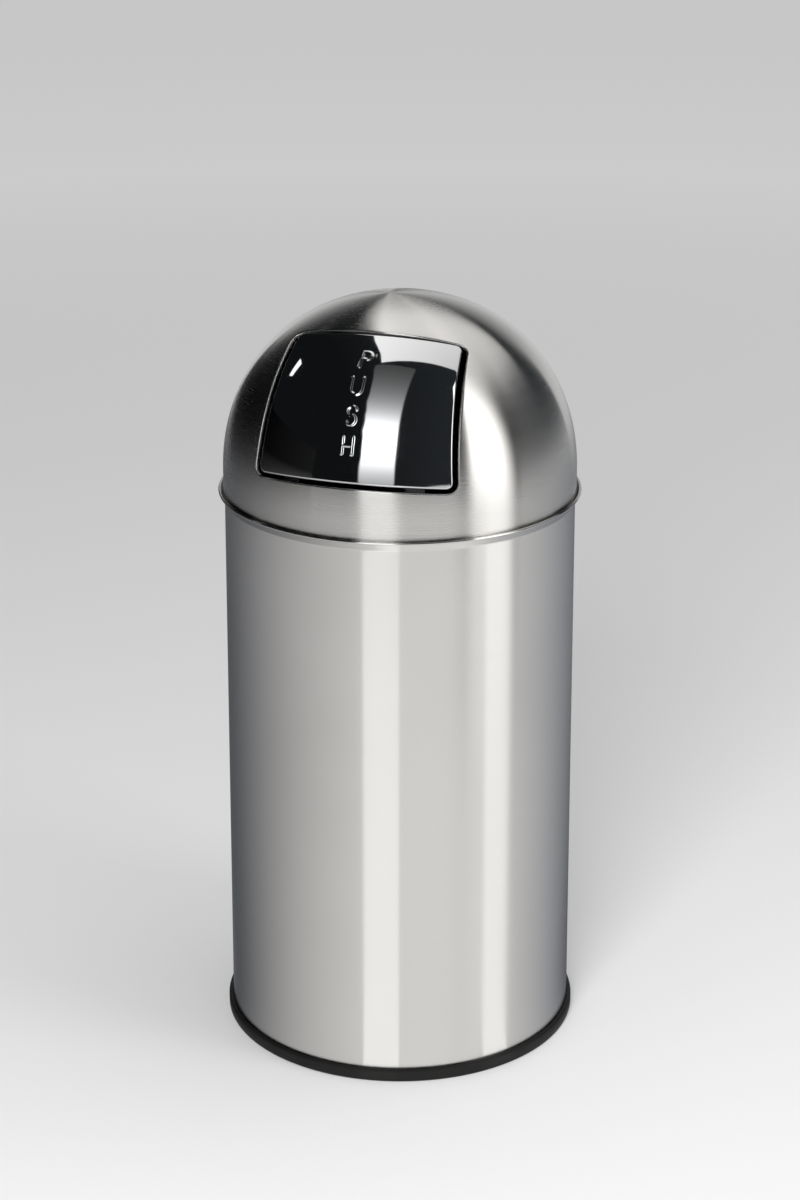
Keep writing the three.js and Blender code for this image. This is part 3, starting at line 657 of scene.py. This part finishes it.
def dome():
    """The dome's sheet as one closed grid: from the lip's end up round the bend at the opening,
    over the dome to the skirt, down it, round the foot, and back along the inside. Over the dome
    each row is a step of ln(radius) in the plane, from the opening to the skirt's circle."""
    steps = field_steps(np.linspace(-1, 1, 61), np.linspace(-1, 1, 81))
    loop = border(*steps)

    def opening(outward):
        return four_sided(*loop, -outward, -outward, -outward, OPENING_CORNER + outward)[0]

    out, deep = quarter(LIP_BEND)
    near = to_plane(opening(LIP_BEND))
    angle = np.arctan2(near[:, 1], near[:, 0])
    first = np.hypot(near[:, 0], near[:, 1])
    middle, circle = 1 / math.tan(MID_RISE), 1 / math.sin(MID_RISE)
    last = middle * np.sin(angle) + np.sqrt(circle**2 - (middle * np.cos(angle)) ** 2)

    def over(share):
        reach = first ** (1 - share) * last**share
        return from_plane(np.stack([reach * np.cos(angle), reach * np.sin(angle)], axis=-1))

    foot = on_shell(over(1.0))
    heading = (foot - [0, 0, DOME_CENTRE]) / DOME_RADIUS
    tip = SHEET / 2
    rows = [on_shell(opening(tip + tip * math.cos(t)), LIP_DEPTH - tip + tip * math.sin(t))
            for t in np.radians([90, 135, 180])]
    rows += [on_shell(opening(a), b) for a, b in zip(out[::-1], deep[::-1])]
    shares = np.linspace(0, 1, 97)[1:]
    rows += [on_shell(over(share)) for share in shares]
    for drop in (4, 8, 12, 16, 20, SKIRT - tip):
        rows.append(foot - [0, 0, drop])
    for t in np.radians([45, 90, 135, 180]):
        rows.append(foot - heading * tip * (1 - math.cos(t)) - [0, 0, SKIRT - tip + tip * math.sin(t)])
    for drop in (16, 8):
        rows.append(foot - heading * SHEET - [0, 0, drop])
    rows += [on_shell(over(share), SHEET) for share in shares[::-2]]
    rows.append(on_shell(opening(LIP_BEND), SHEET))
    inner = LIP_BEND - SHEET
    for t in np.radians([30, 60, 90]):
        rows.append(on_shell(opening(LIP_BEND - inner * math.sin(t)), LIP_BEND - inner * math.cos(t)))
    rows.append(on_shell(opening(SHEET), LIP_DEPTH - tip))
    points = np.array(rows)
    faces = quads(points.shape[0], points.shape[1], close_rows=True, close_columns=True)
    return points.reshape(-1, 3), [faces]


piece("dome_cover", *dome(), dome_steel, STAINLESS, "lid", ["dome_shell"], crease=50)


def collar():
    """A sheet ring, joggled from the tube's inside out to the dome's."""
    low = BODY_RADIUS - SHEET - 0.6 - SHEET / 2
    high = DOME_RADIUS - SHEET - 0.3 - SHEET / 2
    foot = DOME_CENTRE - SKIRT
    path = rounded(
        [[low, foot - 18], [low, foot - 3], [high, foot + 3], [high, foot + 14]],
        [0, 5, 5, 0],
        steps=6,
        closed=False,
    )
    return turned(sheet_section(path, SHEET), 320)


piece("centring_collar", *collar(), tube_steel, STAINLESS, "lid", ["lid_collar"])

# ---------------------------------------------------------------- flap


def arc(x, y, radius, start, end, steps=14):
    turn = np.radians(np.linspace(start, end, steps + 1))
    return np.stack([x + radius * np.cos(turn), y + radius * np.sin(turn)], axis=1)


def letter_strokes():
    """Plain single-stroke letters, about 17 mm tall. Each stroke is a polyline in millimetres
    across and up the flap, drawn about its letter's centre."""
    p_bowl = np.concatenate([[[-4.4, 8.4]], arc(0.4, 4.3, 4.1, 90, -90), [[-2.0, 0.2]]])
    u_line = np.concatenate([[[-5.3, 8.4]], arc(0, -3.1, 5.3, 180, 360), [[5.3, 8.4]]])
    s_line = np.concatenate([arc(0, 4.1, 4.4, 25, 255), arc(0, -4.1, 4.4, 75, -155)])
    letters = [
        ((0.4, 153.5), [[[-4.4, -8.4], [-4.4, 8.4]], p_bowl]),
        ((-2.0, 125.2), [u_line]),
        ((-2.0, 96.5), [s_line]),
        ((-2.0, 68.8), [[[-4.7, -7.6], [-4.7, 7.6]], [[4.7, -7.6], [4.7, 7.6]], [[-4.7, 0.0], [4.7, 0.0]]]),
    ]
    return [np.asarray(line, float) + centre for centre, lines in letters for line in lines]


def stroke_distance(across, up):
    """The least distance from each point to any stroke's segments."""
    spot = np.stack([across, up], axis=-1)
    least = np.full(across.shape, np.inf)
    for line in letter_strokes():
        for start, end in zip(line[:-1], line[1:]):
            run = end - start
            share = np.clip(((spot - start) @ run) / (run @ run), 0, 1)
            gap = np.linalg.norm(spot - start - share[..., None] * run, axis=-1)
            least = np.minimum(least, gap)
    return least


def relief(across, up):
    """How far the flap's face stands out: each stroke is a rounded ridge, (1 - (d/w)^2)^2, in a
    faint hollow of the pressed sheet, in a face that is never quite true."""
    gap = stroke_distance(across, up)
    ridge = 0.72 * np.clip(1 - (gap / 2.1) ** 2, 0, 1) ** 2
    hollow = 0.12 * np.exp(-((gap / 6.5) ** 2))
    wave = 0.03 * np.sin(across / 13 + 1.0) * np.sin(up / 17 + 0.4) + 0.02 * np.sin(across / 23 - up / 19)
    return ridge - hollow + wave


def flap():
    """The flap's sheet as one closed mesh: its face is a grid over the four-sided field, fine where
    the letters are, with its edge bent round and turned in, and the same again inside."""
    fine = np.linspace(-0.105, 0.105, 53)
    wide = np.concatenate([np.linspace(-1, -0.105, 34)[:-1], fine, np.linspace(0.105, 1, 34)[1:]])
    tall = np.concatenate([np.linspace(-1, -0.74, 8)[:-1], np.linspace(-0.74, 0.80, 251),
                           np.linspace(0.80, 1, 8)[1:]])
    steps = field_steps(tall, wide)
    across, along, turn = steps
    loop = border(*steps)

    def edge(inset):
        return four_sided(*loop, FLAP_SIDE_GAP + inset, FLAP_FOOT_GAP + inset, FLAP_TOP_GAP + inset,
                          FLAP_CORNER - inset)[0]

    way, out, up = four_sided(
        across[None], along[:, None], turn[:, None],
        FLAP_SIDE_GAP + FLAP_BEND, FLAP_FOOT_GAP + FLAP_BEND, FLAP_TOP_GAP + FLAP_BEND,
        FLAP_CORNER - FLAP_BEND,
    )
    near = np.minimum(1 - np.abs(across)[None], (1 - np.abs(np.sin(turn) * 0.08 + along * 0.92))[:, None])
    fade = np.clip(near / 0.06, 0, 1)
    lift = relief(out, up) * fade
    rows, columns = way.shape[:2]
    face = on_shell(way, FLAP_RECESS - lift)
    back = on_shell(way, FLAP_RECESS + SHEET - lift)
    number = np.arange(rows * columns).reshape(rows, columns)
    rim = np.concatenate([number[0], number[1:-1, -1], number[-1, ::-1], number[1:-1, 0][::-1]])

    bends, deeps = quarter(FLAP_BEND, 8)
    tip = SHEET / 2
    outer = [on_shell(edge(a), FLAP_RECESS + b) for a, b in zip(bends[1:], deeps[1:])]
    outer.append(on_shell(edge(0.0), FLAP_RECESS + FLANGE_DEPTH - tip))
    outer += [on_shell(edge(tip - tip * math.cos(t)), FLAP_RECESS + FLANGE_DEPTH - tip + tip * math.sin(t))
              for t in np.radians([45, 90, 135])]
    outer.append(on_shell(edge(SHEET), FLAP_RECESS + FLANGE_DEPTH - tip))
    inner = FLAP_BEND - SHEET
    for t in np.radians([90, 60, 30]):
        outer.append(
            on_shell(edge(FLAP_BEND - inner * math.sin(t)), FLAP_RECESS + FLAP_BEND - inner * math.cos(t))
        )
    skirt = np.array(outer)
    count = rows * columns
    length = len(rim)
    points = np.concatenate([face.reshape(-1, 3), back.reshape(-1, 3), skirt.reshape(-1, 3)])
    faces = [quads(rows, columns)[:, ::-1], quads(rows, columns) + count]
    chain = np.concatenate([rim[None], 2 * count + np.arange(skirt.shape[0] * length).reshape(-1, length),
                            rim[None] + count])
    here, after = chain[:-1], chain[1:]
    band = np.stack([here, np.roll(here, -1, 1), np.roll(after, -1, 1), after], axis=-1)
    faces.append(band.reshape(-1, 4)[:, ::-1])
    return points, faces


piece("push_flap", *flap(), flap_steel, MIRROR, "flap", ["flap_panel"], crease=60)

# ---------------------------------------------------------------- hinge

PIN_HALF = 60.9
GROOVE_MIDDLE, GROOVE_HALF = 56.4, 0.7
groove_in, groove_out = GROOVE_MIDDLE - GROOVE_HALF, GROOVE_MIDDLE + GROOVE_HALF
pin_end = [
    [2.5, groove_in], [1.8, groove_in], [1.8, groove_out], [2.5, groove_out], [2.5, PIN_HALF - 0.5],
    [2.0, PIN_HALF],
]
pin = [[radius, -along] for radius, along in pin_end[::-1]] + pin_end
points, faces = capped(pin, 32)
piece("hinge_rod", along_x(points), faces, spring_steel, SPRING, "lid", ["hinge_pin"], crease=30)

for side, hand in ((-1, "left"), (1, "right")):
    middle = side * 52.7
    section = rounded([[2.9, -0.9], [5.0, -0.9], [5.0, 0.9], [2.9, 0.9]], 0.25, steps=3)
    points, faces = turned(section, 40)
    placed = along_x(points, middle)
    piece(f"washer_{hand}", placed, faces, white_nylon, NYLON, "lid", [f"hinge_washer_{hand}"])


def spring():
    """One wire: a leg up to the dome, nine close turns about the pin, a leg forward to the flap.
    The coil is (pitch, radius cos a, radius sin a), a growing evenly."""
    coil_radius, pitch, turns, lift = 5.2, 2.3, 9, math.pi / 4
    half = pitch * (turns - 1) / 2
    first, last = math.pi / 2 + lift, math.pi / 2 + TAU * turns
    angle = np.linspace(first, last, 30 * turns + 1)
    x = half * np.linspace(-1, 1, len(angle))
    coil = np.stack([x, coil_radius * np.cos(angle), coil_radius * np.sin(angle)], axis=1)
    rise = np.array([0.0, math.cos(lift), math.sin(lift)])
    length = np.arange(0, 60, 0.05)[:, None]
    local = coil[0] + rise * length + [0, HINGE_Y, HINGE_Z - DOME_CENTRE]
    level = np.hypot(local[:, 0], local[:, 1]) / DOME_RADIUS
    share = (level**DOME_POWER + (local[:, 2] / DOME_RISE) ** DOME_POWER) ** (1 / DOME_POWER)
    depth = np.linalg.norm(local, axis=1) * (1 / share - 1)
    leg = coil[0] + rise * length[np.argmax(depth <= 1.9)]
    forward = coil[-1] - [0, 36, 0]
    ease = np.linspace(0, 1, 12)[:-1, None]
    path = np.concatenate([leg + (coil[0] - leg) * ease, coil, forward + (coil[-1] - forward) * ease[::-1]])
    return wire(path + [0, HINGE_Y, HINGE_Z], 0.8, 12)


closer = piece("closing_spring", *spring(), spring_steel, SPRING, None, ["torsion_spring"])


SHARP_EDGE = math.radians(35)
BROKEN_EDGE = 0.25


def pressed(node, name, finish):
    """A CAD plate with its edges broken: its loose triangles merged, coplanar ones joined, and a
    fine bevel on every sharp edge."""
    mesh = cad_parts[node].data.copy()
    shape = bmesh.new()
    shape.from_mesh(mesh)
    bmesh.ops.remove_doubles(shape, verts=shape.verts, dist=2e-6)
    bmesh.ops.dissolve_limit(shape, angle_limit=math.radians(2), verts=shape.verts, edges=shape.edges)
    shape.to_mesh(mesh)
    shape.free()
    mesh.name = name
    made = bpy.data.objects.new(name, mesh)
    bpy.context.scene.collection.objects.link(made)
    mesh.materials.clear()
    mesh.materials.append(finish)
    mesh.shade_smooth()
    mesh.set_sharp_from_angle(angle=SHARP_EDGE)
    bevel = made.modifiers.new("broken_edges", "BEVEL")
    bevel.width = BROKEN_EDGE * MM
    bevel.segments = 2
    bevel.limit_method = "ANGLE"
    bevel.angle_limit = SHARP_EDGE
    return made


for node, name, finish, slot, body in (
    ("hinge_bracket_left", "bracket_left", zinc_plated, ZINC, "lid"),
    ("hinge_bracket_right", "bracket_right", zinc_plated, ZINC, "lid"),
    ("flap_ear_left", "flap_lug_left", zinc_plated, ZINC, "flap"),
    ("flap_ear_right", "flap_lug_right", zinc_plated, ZINC, "flap"),
    ("stop_tab_left", "stop_angle_left", dull_zinc, ZINC, "flap"),
    ("stop_tab_right", "stop_angle_right", dull_zinc, ZINC, "flap"),
    ("bail_ear_left", "bail_lug_left", zinc_plated, ZINC, "liner"),
    ("bail_ear_right", "bail_lug_right", zinc_plated, ZINC, "liner"),
    ("stop_bumper_left", "bumper_left", black_rubber, RUBBER, "lid"),
    ("stop_bumper_right", "bumper_right", black_rubber, RUBBER, "lid"),
    ("pin_clip_left", "clip_left", spring_steel, SPRING, "lid"),
    ("pin_clip_right", "clip_right", spring_steel, SPRING, "lid"),
):
    made = pressed(node, name, finish)
    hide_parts(node)
    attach(made, body)

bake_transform(closer)

# ---------------------------------------------------------------- camera, floor and light

CAMERA_AZIMUTH = math.radians(17.05)


def around(azimuth, distance, height):
    """A place round the bin: degrees to the right of the camera, metres from the axis and up."""
    turn = CAMERA_AZIMUTH + math.radians(azimuth)
    return (distance * math.sin(turn), -distance * math.cos(turn), height)


SENSOR = 36.0
FOCAL_PIXELS, PICTURE_HEIGHT = 2823.7, 1200
CAMERA_DISTANCE, CAMERA_HEIGHT, CAMERA_PITCH = 2.61, 1.3975, 16.264

camera_data = bpy.data.cameras.new("camera")
camera_data.sensor_width = SENSOR
camera_data.lens = SENSOR * FOCAL_PIXELS / PICTURE_HEIGHT
camera_data.shift_y = -1 / 6
camera_data.clip_end = 100.0
camera = bpy.data.objects.new("camera", camera_data)
camera.location = around(0, CAMERA_DISTANCE, CAMERA_HEIGHT)
camera.rotation_euler = (math.radians(90 - CAMERA_PITCH), 0, CAMERA_AZIMUTH)
bpy.context.scene.collection.objects.link(camera)
bpy.context.scene.camera = camera


def staged(name, points, faces, finish):
    """A thing of the studio, drawn in metres: X to the camera's right, Y away from it."""
    mesh = bpy.data.meshes.new(name)
    mesh.from_pydata(np.asarray(points).tolist(), [], [list(face) for face in faces])
    mesh.materials.append(finish)
    made = bpy.data.objects.new(name, mesh)
    made.rotation_euler = (0, 0, CAMERA_AZIMUTH)
    bpy.context.scene.collection.objects.link(made)
    return made


def mirrored(name, points, faces, finish):
    """A thing of the studio that is there only for what it looks like in the metal."""
    made = staged(name, points, faces, finish)
    made.visible_camera = False
    made.visible_diffuse = False
    made.visible_shadow = False


def glow(name, colour=(1.0, 1.0, 1.0)):
    """A material that only shines: it, its shader, and the place on the object."""
    made, shine, place = shaded(name, "Emission")
    shine.inputs["Color"].default_value = (*colour, 1)
    made.cycles.emission_sampling = "NONE"
    return made, shine, place


def rings(radii, sides, height=0.0):
    """Points of level circles about the bin's axis, and the faces between them. They share one
    height, or have one each."""
    angle = np.linspace(0, TAU, sides, endpoint=False)
    radius = np.array(radii)[:, None]
    level = np.broadcast_to(np.reshape(height, (-1, 1)), (len(radii), sides))
    points = np.stack([radius * np.cos(angle), radius * np.sin(angle), level], axis=-1)
    return points.reshape(-1, 3), quads(len(radii), sides, close_columns=True).tolist()


def floor():
    """The pale floor, a disc wider than any view of it. It glows more with distance, where the
    lamps don't reach."""
    sides = 128
    points, faces = rings([0.5, 2.0, 6.0, 14.0, 30.0], sides)
    made, shader, place = shaded("studio_floor", "BsdfPrincipled")
    feed(made, shader, {
        "Base Color": (0.80, 0.80, 0.80, 1),
        "Roughness": 0.9,
        "Specular IOR Level": 0.0,
        "Emission Color": (1.0, 1.0, 1.0, 1),
        "Emission Strength": spread(made, vectors(made, "LENGTH", place), 0.05, 0.33, 0.3, 4.2),
    })
    made.cycles.emission_sampling = "NONE"
    staged("studio_floor", points, faces + [list(range(sides))], made)


floor()


def share_of_way(made, place, start, end):
    """How far along the way from start to end a place is: 0 at the start, 1 at the end."""
    start, end = np.array(start), np.array(end)
    run = (end - start) / np.sum((end - start) ** 2)
    along = vectors(made, "DOT_PRODUCT", place, tuple(run))
    return maths(made, "SUBTRACT", along, float(start @ run))


def faded(made, shine, level, offset, inner, outer):
    """Give a shine its level, softly less from an inner offset to nothing at an outer one."""
    fade = spread(made, maths(made, "ABSOLUTE", offset), 1.0, 0.0, inner, outer)
    fade.node.interpolation_type = "SMOOTHSTEP"
    feed(made, shine, {"Strength": maths(made, "MULTIPLY", level, fade)})


REFLECTED_HEIGHT = 0.62
ARCH_RISE_STEPS, ARCH_SIDE_STEPS = 40, 9
BELL_POWER = -1.5


def arch(name, azimuth, half_width, low, high, radius, middle, half_height, peak, edge):
    """A tall light that leans over the bin, an arc of a cylinder round its middle. Its level is a
    bell of the height angle, peak (1 + ((angle - middle) / half height)^2)^-1.5, and fades
    towards its long edges."""
    rise = np.radians(np.linspace(low, high, ARCH_RISE_STEPS))[:, None]
    across = np.tan(math.radians(half_width)) * np.linspace(-1, 1, ARCH_SIDE_STEPS)[None]
    across, forward, up = np.broadcast_arrays(across, np.cos(rise), np.sin(rise))
    cos, sin = math.cos(math.radians(azimuth)), math.sin(math.radians(azimuth))
    points = np.stack([across * cos + forward * sin, across * sin - forward * cos, up], axis=-1)
    points = points.reshape(-1, 3) * radius + [0, 0, REFLECTED_HEIGHT]
    made, shine, place = glow(name)
    from_middle = vectors(made, "SUBTRACT", place, (0, 0, REFLECTED_HEIGHT))
    aside, ahead, height = (
        vectors(made, "DOT_PRODUCT", from_middle, way) for way in ((cos, sin, 0), (sin, -cos, 0), (0, 0, 1))
    )
    away = maths(made, "SUBTRACT", maths(made, "ARCTAN2", height, ahead), math.radians(middle))
    steps = maths(made, "DIVIDE", away, math.radians(half_height))
    square = maths(made, "MULTIPLY", steps, steps)
    bell = maths(made, "POWER", maths(made, "ADD", square, 1.0), BELL_POWER)
    limit = radius * math.tan(math.radians(half_width))
    faded(made, shine, maths(made, "MULTIPLY", bell, peak), aside, limit * edge, limit)
    mirrored(name, points, quads(ARCH_RISE_STEPS, ARCH_SIDE_STEPS), made)


def panel(name, corners, colour, low, high, ends, dim=None):
    """A flat four-cornered panel whose level runs from low to high between two points. It may also
    dim to a tenth between two heights."""
    made, shine, place = glow(name, colour)
    level = spread(made, share_of_way(made, place, *ends), low, high, 0.0, 1.0)
    if dim:
        up = vectors(made, "DOT_PRODUCT", place, (0, 0, 1))
        level = maths(made, "MULTIPLY", level, spread(made, up, 1.0, 0.1, *dim))
    feed(made, shine, {"Strength": level})
    mirrored(name, corners, [(0, 1, 2, 3)], made)


def board(name, foot, head, side, colour, middle, levels, edge):
    """A flat upright board between two points, with a half width given as a vector. Its level has
    one value at the foot, one at the share of the way called middle and one at the head, and
    fades towards both sides from a share of the width."""
    foot, head, side = np.array(foot), np.array(head), np.array(side)
    made, shine, place = glow(name, colour)
    share = share_of_way(made, place, foot, head)
    at_foot, at_middle, at_head = levels
    lower = spread(made, share, at_foot, at_middle, 0.0, middle)
    upper = spread(made, share, 0.0, at_head - at_middle, middle, 1.0)
    level = maths(made, "ADD", lower, upper)
    faded(made, shine, level, share_of_way(made, place, foot, foot + side), edge, 1.0)
    mirrored(name, [foot - side, foot + side, head + side, head - side], [(0, 1, 2, 3)], made)


arch("tall_light_left", -14.5, 11.5, -12, 82, 2.3, 26.0, 17.0, 3.0, 0.88)
board("tall_light_right", (1.93, -1.25, 0.1), (2.0, -0.05, 3.1), (0.42, 0.75, 0.0), (1.0, 0.985, 0.96),
      0.35, (1.0, 2.6, 1.6), 0.35)
panel("overhead_panel", [(-0.33, -0.16, 2.6), (2.6, -0.10, 2.6), (2.6, 2.4, 2.6), (-0.55, 2.4, 2.6)],
      (1.0, 0.985, 0.965), 1.2, 0.75, ((-0.4, 0.6, 2.6), (1.2, 0.0, 2.6)))
panel("far_wall", [(-1.9, 4.0, 0.0), (3.2, 4.0, 0.0), (3.2, 4.0, 3.0), (-1.9, 4.0, 3.0)],
      (1.0, 1.0, 1.0), 0.62, 0.1, ((0, 4.0, 0.6), (0, 4.0, 3.0)))
panel("far_window", [(-2.03, 1.38, 2.46), (-2.13, 1.14, 2.54), (-2.39, 0.96, 2.32), (-2.39, 1.09, 2.23)],
      (1.0, 1.0, 1.0), 1.6, 1.6, ((0, 0, 2.2), (0, 0, 2.6)))
# Painted shade in the metal: a dark glowing sheet left of the bin, seen only in reflections, with a faint
# painted grey low towards the camera.
panel("painted_shade_card", [(-0.8, -0.6, 0.45), (-0.55, 1.2, 0.45), (-0.55, 1.2, 0.85), (-0.8, -0.6, 0.85)],
      (1.0, 1.0, 1.0), 0.010, 0.12, ((0, 0.1, 0), (0, -0.6, 0)), dim=(0.5, 0.64))
panel("near_wall", [(-0.3, -3.0, 0.0), (2.0, -3.0, 0.0), (2.0, -3.0, 0.55), (-0.3, -3.0, 0.55)],
      (1.0, 0.99, 0.975), 0.95, 0.6, ((0, -3.0, 0.0), (0, -3.0, 0.55)))

# The painted floor reflection on the tube's side: its heading, falloff, dark and bright levels, and painted
# strips of light.
REFLECTION_HEADING = 18.0
REFLECTION_FALLOFF = 0.9
REFLECTION_DIM, REFLECTION_BRIGHT = 0.10, 0.86
REFLECTION_STRIPS = ((-12.5, 12.5, 1.13), (67.5, 10.5, 1.09))


# Painted reflection: glowing rings, seen only in the metal, paint the floor and the strips of light that
# the tube's side shows.
def painted_floor_reflection():
    """A painted reflection of what the tube's side looks down on: glowing rings just above the real
    floor, seen only in the metal, brightest ahead and falling off to the rear as a power of
    (1 + cos) / 2, with a painted strip of light (middle, half width, level) below each tall light.
    Both follow the heading of the rays that the tube sends there, in degrees to the right of the
    camera. Such a ray leaves the tube at half its heading, so a place at radius r and heading h is
    met by the ray of heading h / (1 - R / 2r)."""
    points, faces = rings([0.176, 0.6, 1.5, 3.0], 96, 0.003)
    made, shine, place = glow("painted_floor_reflection")
    right = vectors(made, "DOT_PRODUCT", place, (1, 0, 0))
    near = vectors(made, "DOT_PRODUCT", place, (0, -1, 0))
    nearness = maths(made, "DIVIDE", BODY_RADIUS * MM / 2, vectors(made, "LENGTH", place))
    heading = maths(made, "ARCTAN2", right, near)
    sent = maths(made, "DIVIDE", heading, maths(made, "SUBTRACT", 1.0, nearness))
    off = maths(made, "SUBTRACT", sent, math.radians(REFLECTION_HEADING))
    facing = spread(made, maths(made, "COSINE", off), 0.0, 1.0, -1.0, 1.0)
    level = spread(made, maths(made, "POWER", facing, REFLECTION_FALLOFF), REFLECTION_DIM, REFLECTION_BRIGHT, 0.0, 1.0)
    for middle, half_width, bright in REFLECTION_STRIPS:
        apart = maths(made, "ABSOLUTE", maths(made, "SUBTRACT", sent, math.radians(middle)))
        inner, outer = math.radians(half_width - 1), math.radians(half_width + 1)
        level = maths(made, "MAXIMUM", level, spread(made, apart, bright, 0.0, inner, outer))
    ahead = spread(made, maths(made, "COSINE", sent), 0.0, 1.0, -0.9, 0.1)
    tint = blend_colours(made, ahead, (0.94, 0.975, 1.05), (1.0, 0.993, 0.98))
    feed(made, shine, {"Strength": level, "Color": tint})
    mirrored("painted_floor_reflection", points, faces, made)


painted_floor_reflection()

HOOD_RADIUS = 7.0
HOOD_RINGS, HOOD_SIDES = 16, 64


def hood():
    """The unlit rest of the studio: a dark dome over everything."""
    rise = np.radians(np.linspace(0, 90, HOOD_RINGS + 1))[:-1]
    points, faces = rings(np.cos(rise), HOOD_SIDES, np.sin(rise))
    points = np.concatenate([points, [[0, 0, 1.0]]]) * HOOD_RADIUS
    last, top = (HOOD_RINGS - 1) * HOOD_SIDES, HOOD_RINGS * HOOD_SIDES
    faces += [(last + i, last + (i + 1) % HOOD_SIDES, top) for i in range(HOOD_SIDES)]
    made, shine, place = glow("unlit_studio", (0.8, 0.9, 1.0))
    aside = vectors(made, "DOT_PRODUCT", place, (1, 0, 0))
    feed(made, shine, {"Strength": spread(made, aside, 0.008, 0.03, -3.0, 5.0)})
    mirrored("unlit_studio", points, faces, made)


hood()


def lamp(name, place, size, power, target):
    """A soft rectangular lamp aimed at a target. Metal shows the glowing panel in its place."""
    data = bpy.data.lights.new(name, "AREA")
    data.shape = "RECTANGLE"
    data.size, data.size_y = size
    data.energy = power
    made = bpy.data.objects.new(name, data)
    made.visible_camera = False
    made.visible_glossy = False
    back = np.array(place) - np.array(target)
    made.location = place
    made.rotation_euler = (math.atan2(math.hypot(back[0], back[1]), back[2]), 0,
                           math.atan2(back[0], -back[1]))
    bpy.context.scene.collection.objects.link(made)


lamp("lamp_left", around(-12, 2.4, 1.6), (1.0, 1.6), 58, (0, 0, 0.3))
lamp("lamp_right", around(63, 2.3, 1.3), (0.9, 1.7), 15, (0, 0, 0.5))
lamp("lamp_overhead", around(90, 0.7, 2.6), (2.4, 2.0), 20, around(90, 0.7, 0))

world = bpy.data.worlds.new("studio")
world.use_nodes = True
sky = world.node_tree.nodes["Background"]
sky.inputs["Color"].default_value = (1.0, 1.0, 1.0, 1)
sky.inputs["Strength"].default_value = 0.28
bpy.context.scene.world = world
bpy.context.scene.view_settings.view_transform = "Standard"
